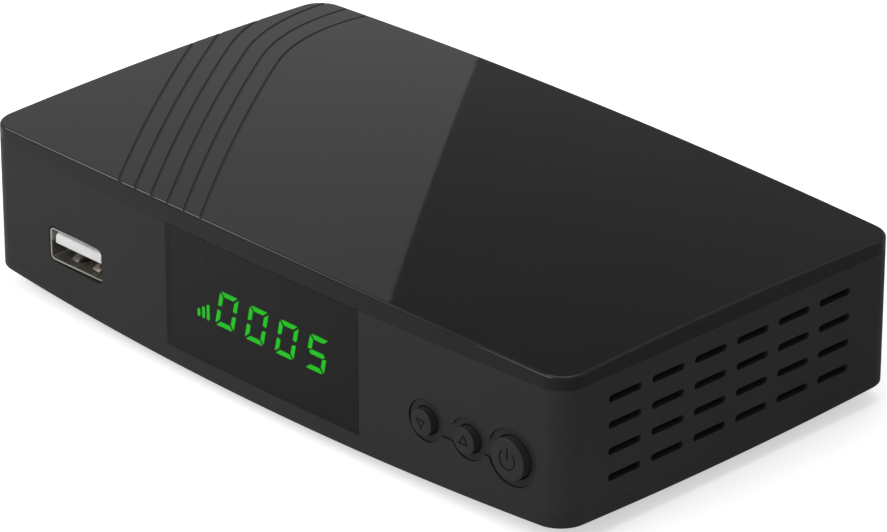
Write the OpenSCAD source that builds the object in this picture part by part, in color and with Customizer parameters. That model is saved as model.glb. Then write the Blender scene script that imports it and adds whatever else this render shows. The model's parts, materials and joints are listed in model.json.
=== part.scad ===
// Terrestrial TV receiver, a set-top box, in millimetres.
// The front faces -Y, +Z is up, and the origin lies on the table under the middle of the whole box.

/* [Case] */
// Width over the flat sides
body_w = 131.2; // [126:0.1:150]
// Depth of the flat sides, from the back face to the front corners
body_d = 73.5; // [70:0.1:90]
// How far the middle of the front bows out past its corners
front_bow = 2.3; // [1.2:0.1:3.5]
// Radius of the four upright corners
corner_r = 4.3; // [3.8:0.1:6]
// Height of the bottom cover at its middle
base_h = 4; // [3.6:0.1:6]
// Height of the upright wall between the two covers
wall_h = 21.3; // [20.5:0.1:26]
// Height of the top cover at its middle
lid_h = 4.5; // [4:0.1:7]
// Radius of the covers' crown from side to side
crown_rx = 1370; // [1100:10:2000]
// Radius of the covers' crown from front to back
crown_ry = 845; // [700:5:1200]
// Thickness of the case
wall_t = 2; // [1.8:0.1:2.4]
// How far each cover's lip reaches into the wall
lip_h = 2; // [1:0.1:2.6]
// Thickness of that lip
lip_t = 1; // [0.8:0.1:1.3]
// Clearance between parts that are fitted together
fit_gap = 0.15; // [0.1:0.01:0.25]

/* [Top grooves] */
// Number of curved grooves
groove_count = 6; // [3:1:8]
// Distance between neighbouring grooves
groove_pitch = 3.9; // [3:0.05:5]
// Width of a groove
groove_w = 0.6; // [0.4:0.1:1]
// Depth of a groove
groove_depth = 0.4; // [0.2:0.1:0.8]
// Radius of the long front stretch
groove_long_r = 780; // [400:10:1200]
// Radius of the last groove's bend near the back
groove_bend_r = 37; // [28:0.5:40]
// How much wider the bend of each next groove is
groove_bend_step = 3.75; // [0:0.25:5]
// Lean of the groove where the bend starts
groove_lean = 34; // [25:1:40]
// Start of the last groove's bend, from the left side
groove_from_left = 17.6; // [14:0.1:24]
// Start of the bends, from the back face
groove_from_back = 26.25; // [22:0.05:30]

/* [Side vents] */
// Slots in a row
vent_columns = 6; // [3:1:6]
// Rows of slots
vent_rows = 4; // [2:1:4]
// Distance between slots along a row
vent_pitch_y = 9.25; // [8.5:0.05:10]
// Distance between rows
vent_pitch_z = 4.4; // [2.5:0.1:4.5]
// Length of a slot
vent_len = 7; // [4:0.1:7.8]
// Height of a slot
vent_h = 1.2; // [0.8:0.1:1.6]
// Lowest row above the bottom cover's edge
vent_up = 4.15; // [3.5:0.05:5]
// How far the rows' middle lies before the middle of the side
vent_forward = 0.5; // [0:0.1:1]

/* [Feet and screws] */
// Height of the belly over the table
floor_gap = 1; // [0.6:0.1:3]
// Radius of a foot
foot_r = 5; // [4:0.1:6]
// Foot from the side
foot_inset_x = 20; // [17:0.5:26]
// Foot from the back face and from the front corners
foot_inset_y = 13; // [11:0.5:18]
// Depth of the seat that the foot is glued into
foot_seat = 0.6; // [0.3:0.1:1]
// Case screw from the side
screw_inset_x = 8; // [7.5:0.1:9]
// Front case screws behind the front corners
screw_inset_front = 14.6; // [14:0.1:18]
// Back case screws before the back face
screw_inset_back = 9; // [8:0.1:12]
// Radius of the case screw's shank
screw_r = 1.45; // [1.2:0.05:1.6]
// Radius of the case screw's head
screw_head_r = 2.6; // [2.3:0.1:2.8]
// Height of the case screw's head
screw_head_h = 1.8; // [1.2:0.1:2.2]
// Length of the case screw under its head
screw_len = 15; // [13:0.5:17]
// Radius of the board screws' shank
small_screw_r = 1; // [0.8:0.05:1.1]
// Radius of the board screws' head
small_head_r = 1.9; // [1.6:0.1:2.2]
// Height of the board screws' head
small_head_h = 1.2; // [0.8:0.1:1.6]
// Length of the board screws under their head
small_screw_len = 4.6; // [4:0.1:5]

/* [Window and display] */
// Width of the smoked window
window_w = 44; // [42:0.1:46]
// Middle of the window
window_x = 1.7; // [0:0.1:2.5]
// Thickness of the window
window_t = 1; // [0.7:0.1:1.2]
// Number on the display
display_number = 5; // [0:1:9999]
// Height of a digit
digit_h = 6.3; // [5:0.05:6.6]
// Width of a digit
digit_w = 4.5; // [3.5:0.05:5]
// Distance between digits
digit_pitch = 6.87; // [6.6:0.01:7]
// Stroke of a digit
segment_w = 0.85; // [0.5:0.05:1]
// Lean of the digits
digit_lean = 10; // [0:1:12]
// Thickness of the lit faces
segment_t = 0.1; // [0.05:0.01:0.15]
// Middle of the four digits, from the window's middle
digits_x = 1.74; // [1:0.02:2.2]
// Middle of the digits above the bottom cover's edge
digits_up = 10.02; // [9.3:0.01:10.5]
// Number of bars in the signal sign
bar_count = 3; // [2:1:4]
// Distance between the bars
bar_pitch = 1.1; // [0.95:0.05:1.3]
// Width of a bar
bar_w = 0.55; // [0.4:0.05:0.85]
// Height of the highest bar
bar_h = 2.6; // [2:0.1:4]
// Height of the first signal bar
bar_low = 1.25; // [0.8:0.05:1.8]

/* [Buttons] */
// Power button's middle, before the corner's curve
power_from_corner = 5.7; // [5.5:0.1:8]
// Distance between buttons
button_pitch = 8.8; // [8.6:0.1:9.2]
// Middle of the buttons above the bottom cover's edge
button_up = 7.65; // [7.4:0.05:9]
// Radius of the power button
power_r = 3.45; // [3:0.05:3.8]
// Radius of the two arrow buttons
arrow_r = 2.2; // [2:0.02:2.6]
// How far a button stands proud of the wall
cap_proud = 1.05; // [0.7:0.05:1.3]
// Rounding of a button's edge
cap_round = 0.2; // [0.1:0.05:0.4]
// Press travel
button_travel = 0.3; // [0.2:0.05:0.35]
// Clearance between a button and its hole
button_gap = 0.2; // [0.15:0.01:0.3]
// Width of the collar that holds a button in
collar_w = 0.9; // [0.5:0.1:1]
// Thickness of that collar
collar_t = 0.8; // [0.6:0.1:1.2]
// Shortest stem behind a collar
stem_len = 0.6; // [0.4:0.1:1.5]
// Radius of the stem
stem_r = 1.2; // [0.8:0.1:1.4]
// Depth of the sunk panel around the buttons
pocket_depth = 0.3; // [0.2:0.05:0.6]
// Width of the sunk ring around an arrow button
arrow_ring = 1.3; // [1:0.02:1.4]
// Width of the sunk ring around the power button
power_ring = 1.35; // [1:0.05:1.5]
// Height of the neck that joins the rings
neck_h = 3; // [2:0.1:4]
// Width and height of a key switch
switch_w = 6; // [5:0.1:6.4]
// Depth of the switch's base
switch_base_t = 2.4; // [2.2:0.1:3]
// Thickness of the switch's metal cover
switch_cover_t = 0.3; // [0.2:0.05:0.4]
// How far the plunger stands out of the cover
plunger_proud = 0.8; // [0.5:0.05:1.2]
// Radius of the plunger
plunger_r = 1.6; // [1.2:0.05:1.7]
// Line width of the signs cut into the buttons
sign_w = 0.3; // [0.2:0.01:0.35]
// Depth of those signs
sign_depth = 0.2; // [0.1:0.01:0.25]

/* [USB socket] */
// Width of the metal shell
usb_w = 13.1; // [12.8:0.05:13.5]
// Height of the metal shell
usb_h = 5.7; // [5.5:0.05:6]
// Length of the metal shell
usb_len = 14; // [13:0.1:16]
// Sheet of the metal shell
usb_t = 0.35; // [0.25:0.05:0.4]
// Middle of the socket, from the left side
usb_from_left = 22.2; // [21:0.1:26]
// Middle of the socket above the bottom cover's edge
usb_up = 7.3; // [7.2:0.05:9]
// Thickness of the tongue
usb_tongue_t = 1.84; // [1.5:0.02:2]

/* [Boards] */
// Thickness of the main board
board_t = 1.6; // [1.2:0.1:1.6]
// Main board's edge, from the side of the case
board_margin = 12.6; // [12.4:0.1:15]
// Thickness of the front board
front_board_t = 1.2; // [1:0.1:1.6]
// Side of the heat sink
sink_w = 26; // [20:0.5:28]
// Height of the heat sink
sink_h = 11; // [6:0.5:12]
// Number of fins
fin_count = 7; // [4:1:8]
// Height of the tuner can
tuner_h = 13; // [12.6:0.1:14]
// Depth of the tuner can
tuner_d = 22; // [18:0.5:24]
// Sheet of the tuner can
tuner_t = 0.5; // [0.3:0.1:0.8]

/* [Rear sockets] */
// How far the aerial sockets stand out of the back
socket_reach = 9; // [8:0.1:12]
// Middle of the aerial input, from the right side
aerial_in_from_right = 23.6; // [22:0.1:25]
// Distance between the two aerial sockets
aerial_pitch = 18; // [16:0.1:20]
// Aerial sockets' axis above the main board
aerial_up = 6.3; // [6:0.1:6.4]
// Bore of the aerial input
aerial_bore_r = 4.775; // [4.7:0.005:4.8]
// Radius of the aerial output's free end
aerial_pin_r = 4.75; // [4.7:0.005:4.8]
// Radius of both sockets where they pass the wall
aerial_collar_r = 5.5; // [5.4:0.05:5.8]
// How far the output's collar stands out of the back
aerial_collar_len = 2; // [1:0.1:3]
// Middle of the picture socket
hdmi_x = -2; // [-4:0.5:2]
// Width of the picture socket
hdmi_w = 15; // [14.8:0.05:15.4]
// Height of the picture socket
hdmi_h = 5.6; // [5.4:0.05:5.8]
// Length of the picture socket
hdmi_len = 11.7; // [10:0.1:13]
// Middle of the sound and picture jack, from the left side
av_from_left = 41.6; // [40:0.1:43]
// Bore of the jack
av_bore_r = 1.8; // [1.76:0.01:1.85]
// Depth of that bore
av_bore_len = 12; // [11:0.1:14]
// Middle of the power inlet, from the left side
dc_from_left = 21.6; // [20.5:0.1:23]
// Bore of the power inlet
dc_bore_r = 2.85; // [2.75:0.05:2.9]
// Radius of the power inlet's centre pin
dc_pin_r = 1; // [0.8:0.05:1.2]

/* [Hidden] */
$fn = 48;
// Facets of the very large arcs
arc_fn = 720;
// Room added to a cut so that it passes the face
cut = 1;
// Overlap of shapes that are joined
overlap = 0.02;
// Smallest corner radius of an inner outline, and how far a corner's circle runs past the straights it meets
least_r = 0.3;
corner_slip = 0.004;

// Depth: the front bow, the sides and the sockets behind the back face
overall_d = front_bow + body_d + socket_reach;
y_front = -overall_d / 2;
y_corner = y_front + front_bow;
y_back = y_corner + body_d;
y_mid = (y_corner + y_back) / 2;
bow_r = (pow(body_w / 2, 2) + pow(front_bow, 2)) / (2 * front_bow);
bow_y = y_front + bow_r;
function front_y(x, inset = 0) = bow_y - sqrt(pow(bow_r - inset, 2) - x * x);

// Heights of the belly, the two split lines and the crown
z_base = floor_gap;
z_low = z_base + base_h;
z_up = z_low + wall_h;
z_top = z_up + lid_h;
function sag(x, y) = x * x / (2 * crown_rx) + pow(y - y_mid, 2) / (2 * crown_ry);
lip_in = wall_t + fit_gap;

// Case screws: pillars on the bottom cover meet bosses under the top cover
screw_x = body_w / 2 - screw_inset_x;
screw_ys = [y_corner + screw_inset_front, y_back - screw_inset_back];
z_join = z_low + 9;
z_screw = z_low + 0.5;
screw_room = 0.15;
thread_room = 0.05;
boss_r = screw_r + 1.55;
pillar_r = screw_head_r + 1.6;
head_room = 0.3;
foot_x = body_w / 2 - foot_inset_x;
foot_ys = [y_corner + foot_inset_y, y_back - foot_inset_y];

// Buttons
button_xs = [for (i = [2, 1, 0]) body_w / 2 - corner_r - power_from_corner - i * button_pitch];
button_rs = [arrow_r, arrow_r, power_r];
ring_rs = [arrow_r + arrow_ring, arrow_r + arrow_ring, power_r + power_ring];
button_z = z_low + button_up;
collar_gap = 0.3;
function collar_y(i) = front_y(button_xs[i] + button_rs[i] + collar_w, wall_t) + collar_gap;
press_gap = 0.05;
plunger_y = collar_y(2) + collar_t + stem_len + press_gap;
switch_cover_y = plunger_y + plunger_proud;
switch_base_y = switch_cover_y + switch_cover_t;
front_board_y = switch_base_y + switch_base_t;
plunger_room = 0.2;
plunger_collar = 0.35;
plunger_collar_t = 0.5;
switch_cavity_r = plunger_r + plunger_collar + 0.25;
switch_cavity_t = 1.4;
dome_t = 0.2;

// Window and display
seat_gap = 0.1;
display_w = 3 * digit_pitch + digit_w + bar_count * bar_pitch + 5;
display_h = digit_h + 3;
digits_mid = window_x + digits_x;
display_x = digits_mid - bar_count * bar_pitch / 2 - 0.9;
digits_z = z_low + digits_up;
display_y = front_y(abs(display_x) + display_w / 2, window_t) + 0.25;
bar_x = digits_mid - 1.5 * digit_pitch - digit_w / 2 - bar_count * bar_pitch - 1.27;
infrared_x = display_x - display_w / 2 + 4;
infrared_w = 3.8;
infrared_r = 1.5;
infrared_z = digits_z + display_h / 2 + infrared_w / 2 + 0.6;
infrared_y = front_y(infrared_x, wall_t) + 0.6;
infrared_d = 3.4;
lead_r = 0.25;
lead_pitch = 1.27;
lead_end = 0.6;

// USB socket and the boards that follow from it
usb_x = -body_w / 2 + usb_from_left;
usb_z = z_low + usb_up;
usb_y = front_y(usb_x - usb_w / 2);
usb_round = 0.9;
usb_room = 0.25;
usb_tongue_in = 0.3;
tongue_z = usb_z + usb_h / 2 - usb_t - 0.55 - usb_tongue_t / 2;
board_top = usb_z - usb_h / 2;
board_bottom = board_top - board_t;
board_x = body_w / 2 - board_margin;
board_y0 = front_board_y + front_board_t + 0.5;
board_y1 = y_back - wall_t - 0.5;
board_tab_w = usb_w + 5;
board_tab_y = usb_y + 3;
board_screw_x = board_x - 3.5;
board_screw_front = 9.5;
board_screw_gap = 5.9;
board_screw_ys = [board_y0 + board_screw_front, board_y1 - tuner_d - board_screw_gap];
board_hole_r = small_screw_r + 0.2;
post_r = small_screw_r + 2;
front_board_left = 8;
front_board_x0 = window_x - window_w / 2 - front_board_left;
front_board_x1 = body_w / 2 - wall_t - lip_t - 1.5;
front_board_z0 = board_top + 0.3;
front_board_z1 = z_up - 1.3;
front_screw_edge = 3.5;
front_screw_beside = 5.8;
front_screw_down = 6;
front_screw_xs = [front_board_x0 + front_screw_edge, window_x + window_w / 2 + front_screw_beside];
front_screw_z = z_up - front_screw_down;
front_boss_r = small_screw_r + 1.2;

// Pin strip between the boards
header_pins_n = 8;
header_pitch = 2.54;
header_x = window_x - 4;
header_d = 2.5;
header_h = 2.5;
pin_w = 0.64;
pin_end = 1;
pin_up = 0.6 * header_h;
driver_w = 12;
driver_h = 7.5;
driver_t = 1.6;
driver_up = 1.75;
pin_room = 0.06;

// Rear sockets
aerial_z = board_top + aerial_up;
aerial_in_x = body_w / 2 - aerial_in_from_right;
aerial_out_x = aerial_in_x - aerial_pitch;
aerial_xs = [aerial_in_x, aerial_out_x];
av_x = -body_w / 2 + av_from_left;
dc_x = -body_w / 2 + dc_from_left;
socket_end = y_back + socket_reach;
insulator_t = 3;
aerial_out_bore_r = aerial_pin_r - 0.6;
contact_r = 1.55;
contact_bore_r = 1.2;
hole_gap = 0.3;
hdmi_z = board_top + hdmi_h / 2;
hdmi_end = y_back + 0.3;
hdmi_t = 0.35;
hdmi_slope = 1.8;
hdmi_tongue_w = 11.5;
hdmi_tongue_t = 1.1;
hdmi_tongue_in = 1.5;
av_w = 7;
av_h = 6;
av_nose_r = 3;
av_z = board_top + av_h / 2;
av_end = y_back + 0.5;
av_y0 = av_end - av_bore_len - 2;
panel_y = y_back - wall_t - 0.2;
dc_w = 9;
dc_h = 11;
dc_d = 14;
dc_nose_r = 4;
dc_up = 6.2;
dc_z = board_top + dc_up;
dc_end = y_back + 0.3;
dc_bore_len = 9.5;
// How far the centre pins end inside their sockets' mouths, and start before the back of the board
pin_short = 1;
pin_root = 4;

// Parts on the main board: [width, depth, height] and middle [x, y] of each
sink_gap = 0.4;
chip_x = -6;
chip_y = board_y1 - tuner_d - sink_w / 2 - sink_gap;
chip_at = [chip_x, chip_y];
chip_size = [17, 17, 1.5];
pad_h = 0.5;
memory_at = [chip_x + 26, chip_y - 3];
memory_size = [9, 13, 1.1];
flash_at = [dc_x + 18.5, chip_y - 12];
flash_size = [5.3, 5.3, 1.8];
crystal_at = [chip_x + 20, board_y0 + 7];
crystal_size = [11, 4.6, 3.4];
regulator_size = [6.5, 3.5, 1.7];
regulator_x = chip_x - (chip_size[0] + regulator_size[0]) / 2 - 2.2;
regulator_at = [[regulator_x, chip_y - 2], [regulator_x, chip_y + 8]];
inductor_at = [[dc_x + 10, chip_y - 11], [dc_x + 10, chip_y - 1]];
inductor_size = [7.3, 7.3, 4.2];
capacitor_at = [[dc_x, chip_y + 11], [dc_x + 9, chip_y + 11], [dc_x - 1, chip_y - 4]];
capacitor_r = 3.15;
capacitor_h = 11;
sink_plate = 2;
fin_t = 1.2;

shell_black = "#26262a";
panel_black = "#2c2c30";
board_green = "#1f5a35";
metal = "#b9bcc0";
plastic_black = "#18181a";

// Shared shapes

// Plan of the case, drawn in by inset: flat back and sides, bowed front, round corners
module outline(inset) {
  half = body_w / 2 - inset;
  r = max(corner_r - inset, least_r);
  front_r = bow_r - inset;
  back = y_back - inset;
  mid_x = half - r;
  mid_y = bow_y - sqrt(pow(front_r - r, 2) - mid_x * mid_x);
  difference() {
    intersection() {
      translate([0, bow_y]) circle(r = front_r, $fn = arc_fn);
      translate([-half, y_front - cut]) square([2 * half, back - y_front + cut]);
    }
    for (s = [-1, 1]) {
      corner_cut([s * mid_x, mid_y], r, [s * mid_x, mid_y - bow_y] / (front_r - r), s);
      corner_cut([s * mid_x, back - r], r, [0, 1], s);
    }
  }
}

// What a round corner takes away: a wedge outside its circle, from one given direction round to the side
module corner_cut(mid, r, along, s) {
  far = 3 * r;
  difference() {
    polygon([mid, mid + far * along, mid + far * (along + [s, 0]), mid + far * [s, 0]]);
    translate(mid) circle(r = r + corner_slip);
  }
}

// Everything under a crown whose highest point is at z_apex
module crown(z_apex) {
  spread = 10;
  depth = 20;
  translate([0, y_mid, z_apex - crown_rx])
    rotate([90, 0, 0])
      rotate_extrude(angle = spread, start = 90 - spread / 2, $fn = arc_fn)
        intersection() {
          translate([crown_rx - crown_ry, 0]) circle(r = crown_ry, $fn = arc_fn);
          translate([crown_rx - depth, -body_d]) square([depth + 1, 2 * body_d]);
        }
}

// Everything above a belly whose lowest point is at z_apex
module belly(z_apex) {
  mirror([0, 0, 1]) crown(-z_apex);
}

// Upright slab of the case's plan
module slab(inset, z0, z1) {
  translate([0, 0, z0]) linear_extrude(height = z1 - z0) outline(inset);
}

// Upright ring between two insets of the case's plan
module ring(inset_out, inset_in, z0, z1) {
  translate([0, 0, z0])
    linear_extrude(height = z1 - z0)
      difference() {
        outline(inset_out);
        outline(inset_in);
      }
}

// Round bar along y at [x, z]
module bar_y(x, z, r, y0, y1) {
  translate([x, y1, z]) rotate([90, 0, 0]) cylinder(r = r, h = y1 - y0);
}

// Flat shape drawn in x and z, carried along y from y0 to y1
module along_y(x, z, y0, y1) {
  translate([x, y1, z]) rotate([90, 0, 0]) linear_extrude(height = y1 - y0) children();
}

// Block given by its middle in x and y and by its height span
module block(x, y, w, d, z0, z1) {
  translate([x - w / 2, y - d / 2, z0]) cube([w, d, z1 - z0]);
}

// Rectangle with round corners
module round_rect(w, h, r) {
  square([w - 2 * r, h], center = true);
  square([w, h - 2 * r], center = true);
  for (sx = [-1, 1])
    for (sy = [-1, 1])
      translate([sx * (w / 2 - r), sy * (h / 2 - r)]) circle(r = r);
}

// Screw along +z with its head's seat at the origin and a cross in its head
module screw(r, length, head_r, head_h) {
  slot_w = head_r * 0.28;
  slot_l = head_r * 1.2;
  slot_d = head_h * 0.5;
  difference() {
    union() {
      cylinder(r = r, h = length);
      translate([0, 0, -head_h]) cylinder(r = head_r, h = head_h);
    }
    for (a = [0, 90])
      rotate([0, 0, a])
        translate([-slot_l / 2, -slot_w / 2, -head_h - cut]) cube([slot_l, slot_w, slot_d + cut]);
  }
}

module at_case_screws() {
  for (sx = [-1, 1])
    for (y = screw_ys)
      translate([sx * screw_x, y, 0]) children();
}

module at_board_screws() {
  for (sx = [-1, 1])
    for (y = board_screw_ys)
      translate([sx * board_screw_x, y, 0]) children();
}

// Case

// One curved groove of the top, drawn in plan: a long shallow arc that runs into a tighter bend
module groove_line(i) {
  bend_r = groove_bend_r + i * groove_bend_step;
  lean_x = cos(groove_lean);
  lean_y = sin(groove_lean);
  start_x = -body_w / 2 + groove_from_left - i * groove_pitch;
  start_y = y_back - groove_from_back;
  bend_x = start_x + bend_r * lean_x;
  bend_y = start_y + bend_r * lean_y;
  half = groove_w / 2;
  reach = body_w;
  intersection() {
    translate([bend_x, bend_y])
      difference() {
        circle(r = bend_r + half, $fn = arc_fn);
        circle(r = bend_r - half, $fn = arc_fn);
      }
    translate([start_x - reach, start_y])
      square([reach + bend_r, groove_from_back + cut]);
  }
  intersection() {
    translate([start_x + groove_long_r * lean_x, start_y + groove_long_r * lean_y])
      difference() {
        circle(r = groove_long_r + half, $fn = arc_fn);
        circle(r = groove_long_r - half, $fn = arc_fn);
      }
    translate([start_x - half, y_front - cut]) square([reach, start_y + overlap - y_front + cut]);
  }
}

module top_cover() {
  color(shell_black)
    difference() {
      union() {
        difference() {
          intersection() {
            slab(0, z_up, z_top + cut);
            crown(z_top);
          }
          intersection() {
            slab(wall_t, z_up - cut, z_top + cut);
            crown(z_top - wall_t);
          }
        }
        ring(lip_in, lip_in + lip_t, z_up - lip_h, z_up + overlap);
        intersection() {
          ring(wall_t / 2, lip_in + lip_t, z_up, z_top);
          crown(z_top - wall_t / 2);
        }
        case_screw_bosses();
      }
      difference() {
        translate([0, 0, z_up])
          linear_extrude(height = lid_h + cut)
            for (i = [0 : groove_count - 1]) groove_line(i);
        crown(z_top - groove_depth);
      }
      at_case_screws()
        translate([0, 0, z_join - cut])
          cylinder(r = screw_r + thread_room, h = z_screw + screw_len + 1 - z_join + cut);
    }
}

// Bosses under the top cover, each rooted in the middle of the roof's thickness
module case_screw_bosses() {
  for (sx = [-1, 1])
    for (y = screw_ys)
      translate([sx * screw_x, y, z_join])
        cylinder(r = boss_r, h = z_top - sag(screw_x, y) - wall_t / 2 - z_join);
}

module vent_slots() {
  straight = vent_len - vent_h;
  first_y = y_mid - vent_forward - (vent_columns - 1) / 2 * vent_pitch_y;
  first_z = z_low + vent_up;
  for (s = [-1, 1])
    for (i = [0 : vent_columns - 1])
      for (j = [0 : vent_rows - 1])
        translate([s * body_w / 2, first_y + i * vent_pitch_y, first_z + j * vent_pitch_z])
          rotate([0, 90, 0]) {
            for (e = [-1, 1])
              translate([0, e * straight / 2, 0]) cylinder(r = vent_h / 2, h = 4 * wall_t, center = true);
            cube([vent_h, straight, 4 * wall_t], center = true);
          }
}

// Sunk panel around the buttons, following the bow of the front
module button_pocket() {
  difference() {
    along_y(0, button_z, y_front - cut, y_corner + wall_t) {
      for (i = [0 : 2])
        translate([button_xs[i], 0]) circle(r = ring_rs[i]);
      translate([button_xs[0], -neck_h / 2]) square([button_xs[2] - button_xs[0], neck_h]);
    }
    slab(pocket_depth, z_low - cut, z_up + cut);
  }
}

// Seat of the window in the wall, and the openings behind the window
module window_cuts() {
  x0 = window_x - window_w / 2;
  difference() {
    translate([x0, y_front - cut, z_low - cut]) cube([window_w, front_bow + wall_t, wall_h + 2 * cut]);
    slab(window_t + seat_gap, z_low - 2 * cut, z_up + 2 * cut);
  }
  along_y(display_x, digits_z, y_front, y_front + 3 * wall_t)
    square([display_w + 2 * hole_gap, display_h + 2 * hole_gap], center = true);
  bar_y(infrared_x, infrared_z, infrared_r + hole_gap, y_front, y_front + 3 * wall_t);
}

module rear_cuts() {
  y0 = y_back - 2 * wall_t;
  y1 = y_back + cut;
  for (x = aerial_xs) bar_y(x, aerial_z, aerial_collar_r + hole_gap, y0, y1);
  bar_y(av_x, av_z, av_nose_r + hole_gap, y0, y1);
  bar_y(dc_x, dc_z, dc_nose_r + hole_gap, y0, y1);
  along_y(hdmi_x, hdmi_z, y0, y1) hdmi_plan(-hole_gap);
}

module wall_ring() {
  color(panel_black)
    difference() {
      union() {
        ring(0, wall_t, z_low, z_up);
        for (x = front_screw_xs)
          bar_y(x, front_screw_z, front_boss_r, front_y(x, wall_t / 2), front_board_y);
      }
      vent_slots();
      along_y(usb_x, usb_z, y_front - cut, usb_y + 2 * wall_t)
        round_rect(usb_w + 2 * usb_room, usb_h + 2 * usb_room, usb_round + usb_room);
      window_cuts();
      button_pocket();
      for (i = [0 : 2])
        bar_y(button_xs[i], button_z, button_rs[i] + button_gap, y_front - cut, y_corner + 2 * wall_t);
      rear_cuts();
      for (x = front_screw_xs)
        bar_y(x, front_screw_z, small_screw_r + thread_room, front_board_y - small_screw_len,
          front_board_y + cut);
    }
}

module bottom_cover() {
  color(shell_black)
    difference() {
      union() {
        difference() {
          intersection() {
            slab(0, z_base - cut, z_low);
            belly(z_base);
          }
          intersection() {
            slab(wall_t, z_base, z_low + cut);
            belly(z_base + wall_t);
          }
        }
        ring(lip_in, lip_in + lip_t, z_low - overlap, z_low + lip_h);
        intersection() {
          ring(wall_t / 2, lip_in + lip_t, z_base, z_low);
          belly(z_base + wall_t / 2);
        }
        for (sx = [-1, 1]) {
          for (y = screw_ys) {
            foot_z = z_base + sag(screw_x, y) + wall_t / 2;
            translate([sx * screw_x, y, foot_z]) cylinder(r = pillar_r, h = z_screw + 1.5 - foot_z);
            translate([sx * screw_x, y, foot_z]) cylinder(r = boss_r, h = z_join - foot_z);
          }
          for (y = board_screw_ys) {
            foot_z = z_base + sag(board_screw_x, y) + wall_t / 2;
            translate([sx * board_screw_x, y, foot_z]) cylinder(r = post_r, h = board_bottom - foot_z);
          }
        }
      }
      at_case_screws() {
        cylinder(r = screw_head_r + head_room, h = z_screw);
        cylinder(r = screw_r + screw_room, h = z_join + cut);
      }
      at_board_screws()
        translate([0, 0, board_bottom - small_screw_len + board_t])
          cylinder(r = small_screw_r + thread_room, h = small_screw_len);
      for (sx = [-1, 1])
        for (y = foot_ys)
          translate([sx * foot_x, y, 0]) cylinder(r = foot_r + fit_gap, h = foot_top(y));
      belly_slots();
    }
}

// Flat seat of a foot
function foot_top(y) = z_base + sag(foot_x, y) + foot_seat;

// Rows of air slots under the main board
module belly_slots() {
  slot_w = 1.6;
  slot_l = 16;
  slot_pitch = 4;
  slots = 9;
  for (s = [-1, 1])
    for (i = [0 : slots - 1])
      block((i - (slots - 1) / 2) * slot_pitch, y_mid + s * slot_l * 0.65, slot_w, slot_l, 0, z_low);
}

module display_window() {
  color("#111114")
    translate([0, 0, z_low + seat_gap / 2])
      linear_extrude(height = wall_h - seat_gap)
        intersection() {
          difference() {
            outline(0);
            outline(window_t);
          }
          translate([window_x - window_w / 2 + seat_gap / 2, y_front - cut])
            square([window_w - seat_gap, front_bow + wall_t]);
        }
}

module rubber_feet() {
  edge = 0.4;
  color("#101010")
    for (sx = [-1, 1])
      for (y = foot_ys)
        translate([sx * foot_x, y, 0])
          rotate_extrude()
            polygon([
              [0, 0], [foot_r - edge, 0], [foot_r, edge], [foot_r, foot_top(y)], [0, foot_top(y)]
            ]);
}

module case_screws() {
  color("#4a4a4c")
    at_case_screws() translate([0, 0, z_screw]) screw(screw_r, screw_len, screw_head_r, screw_head_h);
}

// Buttons, drawn with their axis along y and the face towards the front

module button(i) {
  r = button_rs[i];
  face = front_y(button_xs[i]) - cap_proud;
  collar = collar_y(i);
  translate([button_xs[i], 0, button_z])
    difference() {
      union() {
        translate([0, face, 0])
          rotate([-90, 0, 0])
            rotate_extrude() {
              translate([0, cap_round]) square([r, collar - face - cap_round + collar_t / 2]);
              square([r - cap_round, cap_round]);
              intersection() {
                translate([r - cap_round, cap_round]) circle(r = cap_round);
                square([r, 2 * cap_round]);
              }
            }
        bar_y(0, 0, r + collar_w, collar, collar + collar_t);
        bar_y(0, 0, stem_r, collar, plunger_y - press_gap);
      }
      along_y(0, 0, face - cut, face + sign_depth) children();
    }
}

// Outline of a triangle that points down, or up when turned
module arrow_sign() {
  size = arrow_r * 0.47;
  inner = size - 2 * sign_w;
  difference() {
    circle(r = size, $fn = 3);
    circle(r = inner, $fn = 3);
  }
}

module down_button() {
  color(panel_black) button(0) rotate(-90) arrow_sign();
}

module up_button() {
  color(panel_black) button(1) rotate(90) arrow_sign();
}

// Broken ring with an upright stroke
module power_button() {
  size = power_r * 0.46;
  gap = size * 1.28;
  color(panel_black)
    button(2) {
      difference() {
        circle(r = size + sign_w / 2);
        circle(r = size - sign_w / 2);
        translate([-gap / 2, 0]) square([gap, 2 * size]);
      }
      translate([-sign_w / 2, 0]) square([sign_w, size + sign_w]);
    }
}

module plunger(i) {
  collar_front = switch_base_y + press_gap;
  collar_back = collar_front + plunger_collar_t;
  nub_end = switch_base_y + switch_cavity_t - dome_t - button_travel - press_gap;
  color("#2a2a2a") {
    bar_y(button_xs[i], button_z, plunger_r, plunger_y, collar_back);
    bar_y(button_xs[i], button_z, plunger_r + plunger_collar, collar_front, collar_back);
    bar_y(button_xs[i], button_z, plunger_r / 2, collar_front, nub_end);
  }
}

module switch_base(i) {
  color("#222222")
    difference() {
      along_y(button_xs[i], button_z, switch_base_y, front_board_y) square(switch_w, center = true);
      bar_y(button_xs[i], button_z, switch_cavity_r, switch_base_y - cut, switch_base_y + switch_cavity_t);
    }
}

module switch_cover(i) {
  color(metal)
    difference() {
      along_y(button_xs[i], button_z, switch_cover_y, switch_base_y) square(switch_w, center = true);
      bar_y(button_xs[i], button_z, plunger_r + plunger_room, switch_cover_y - cut, switch_base_y + cut);
    }
}

module contact_domes() {
  floor_y = switch_base_y + switch_cavity_t;
  color(metal)
    for (x = button_xs) bar_y(x, button_z, switch_cavity_r - 0.2, floor_y - dome_t, floor_y);
}

module down_plunger() { plunger(0); }
module up_plunger() { plunger(1); }
module power_plunger() { plunger(2); }
module down_switch_base() { switch_base(0); }
module up_switch_base() { switch_base(1); }
module power_switch_base() { switch_base(2); }
module down_switch_cover() { switch_cover(0); }
module up_switch_cover() { switch_cover(1); }
module power_switch_cover() { switch_cover(2); }

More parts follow.
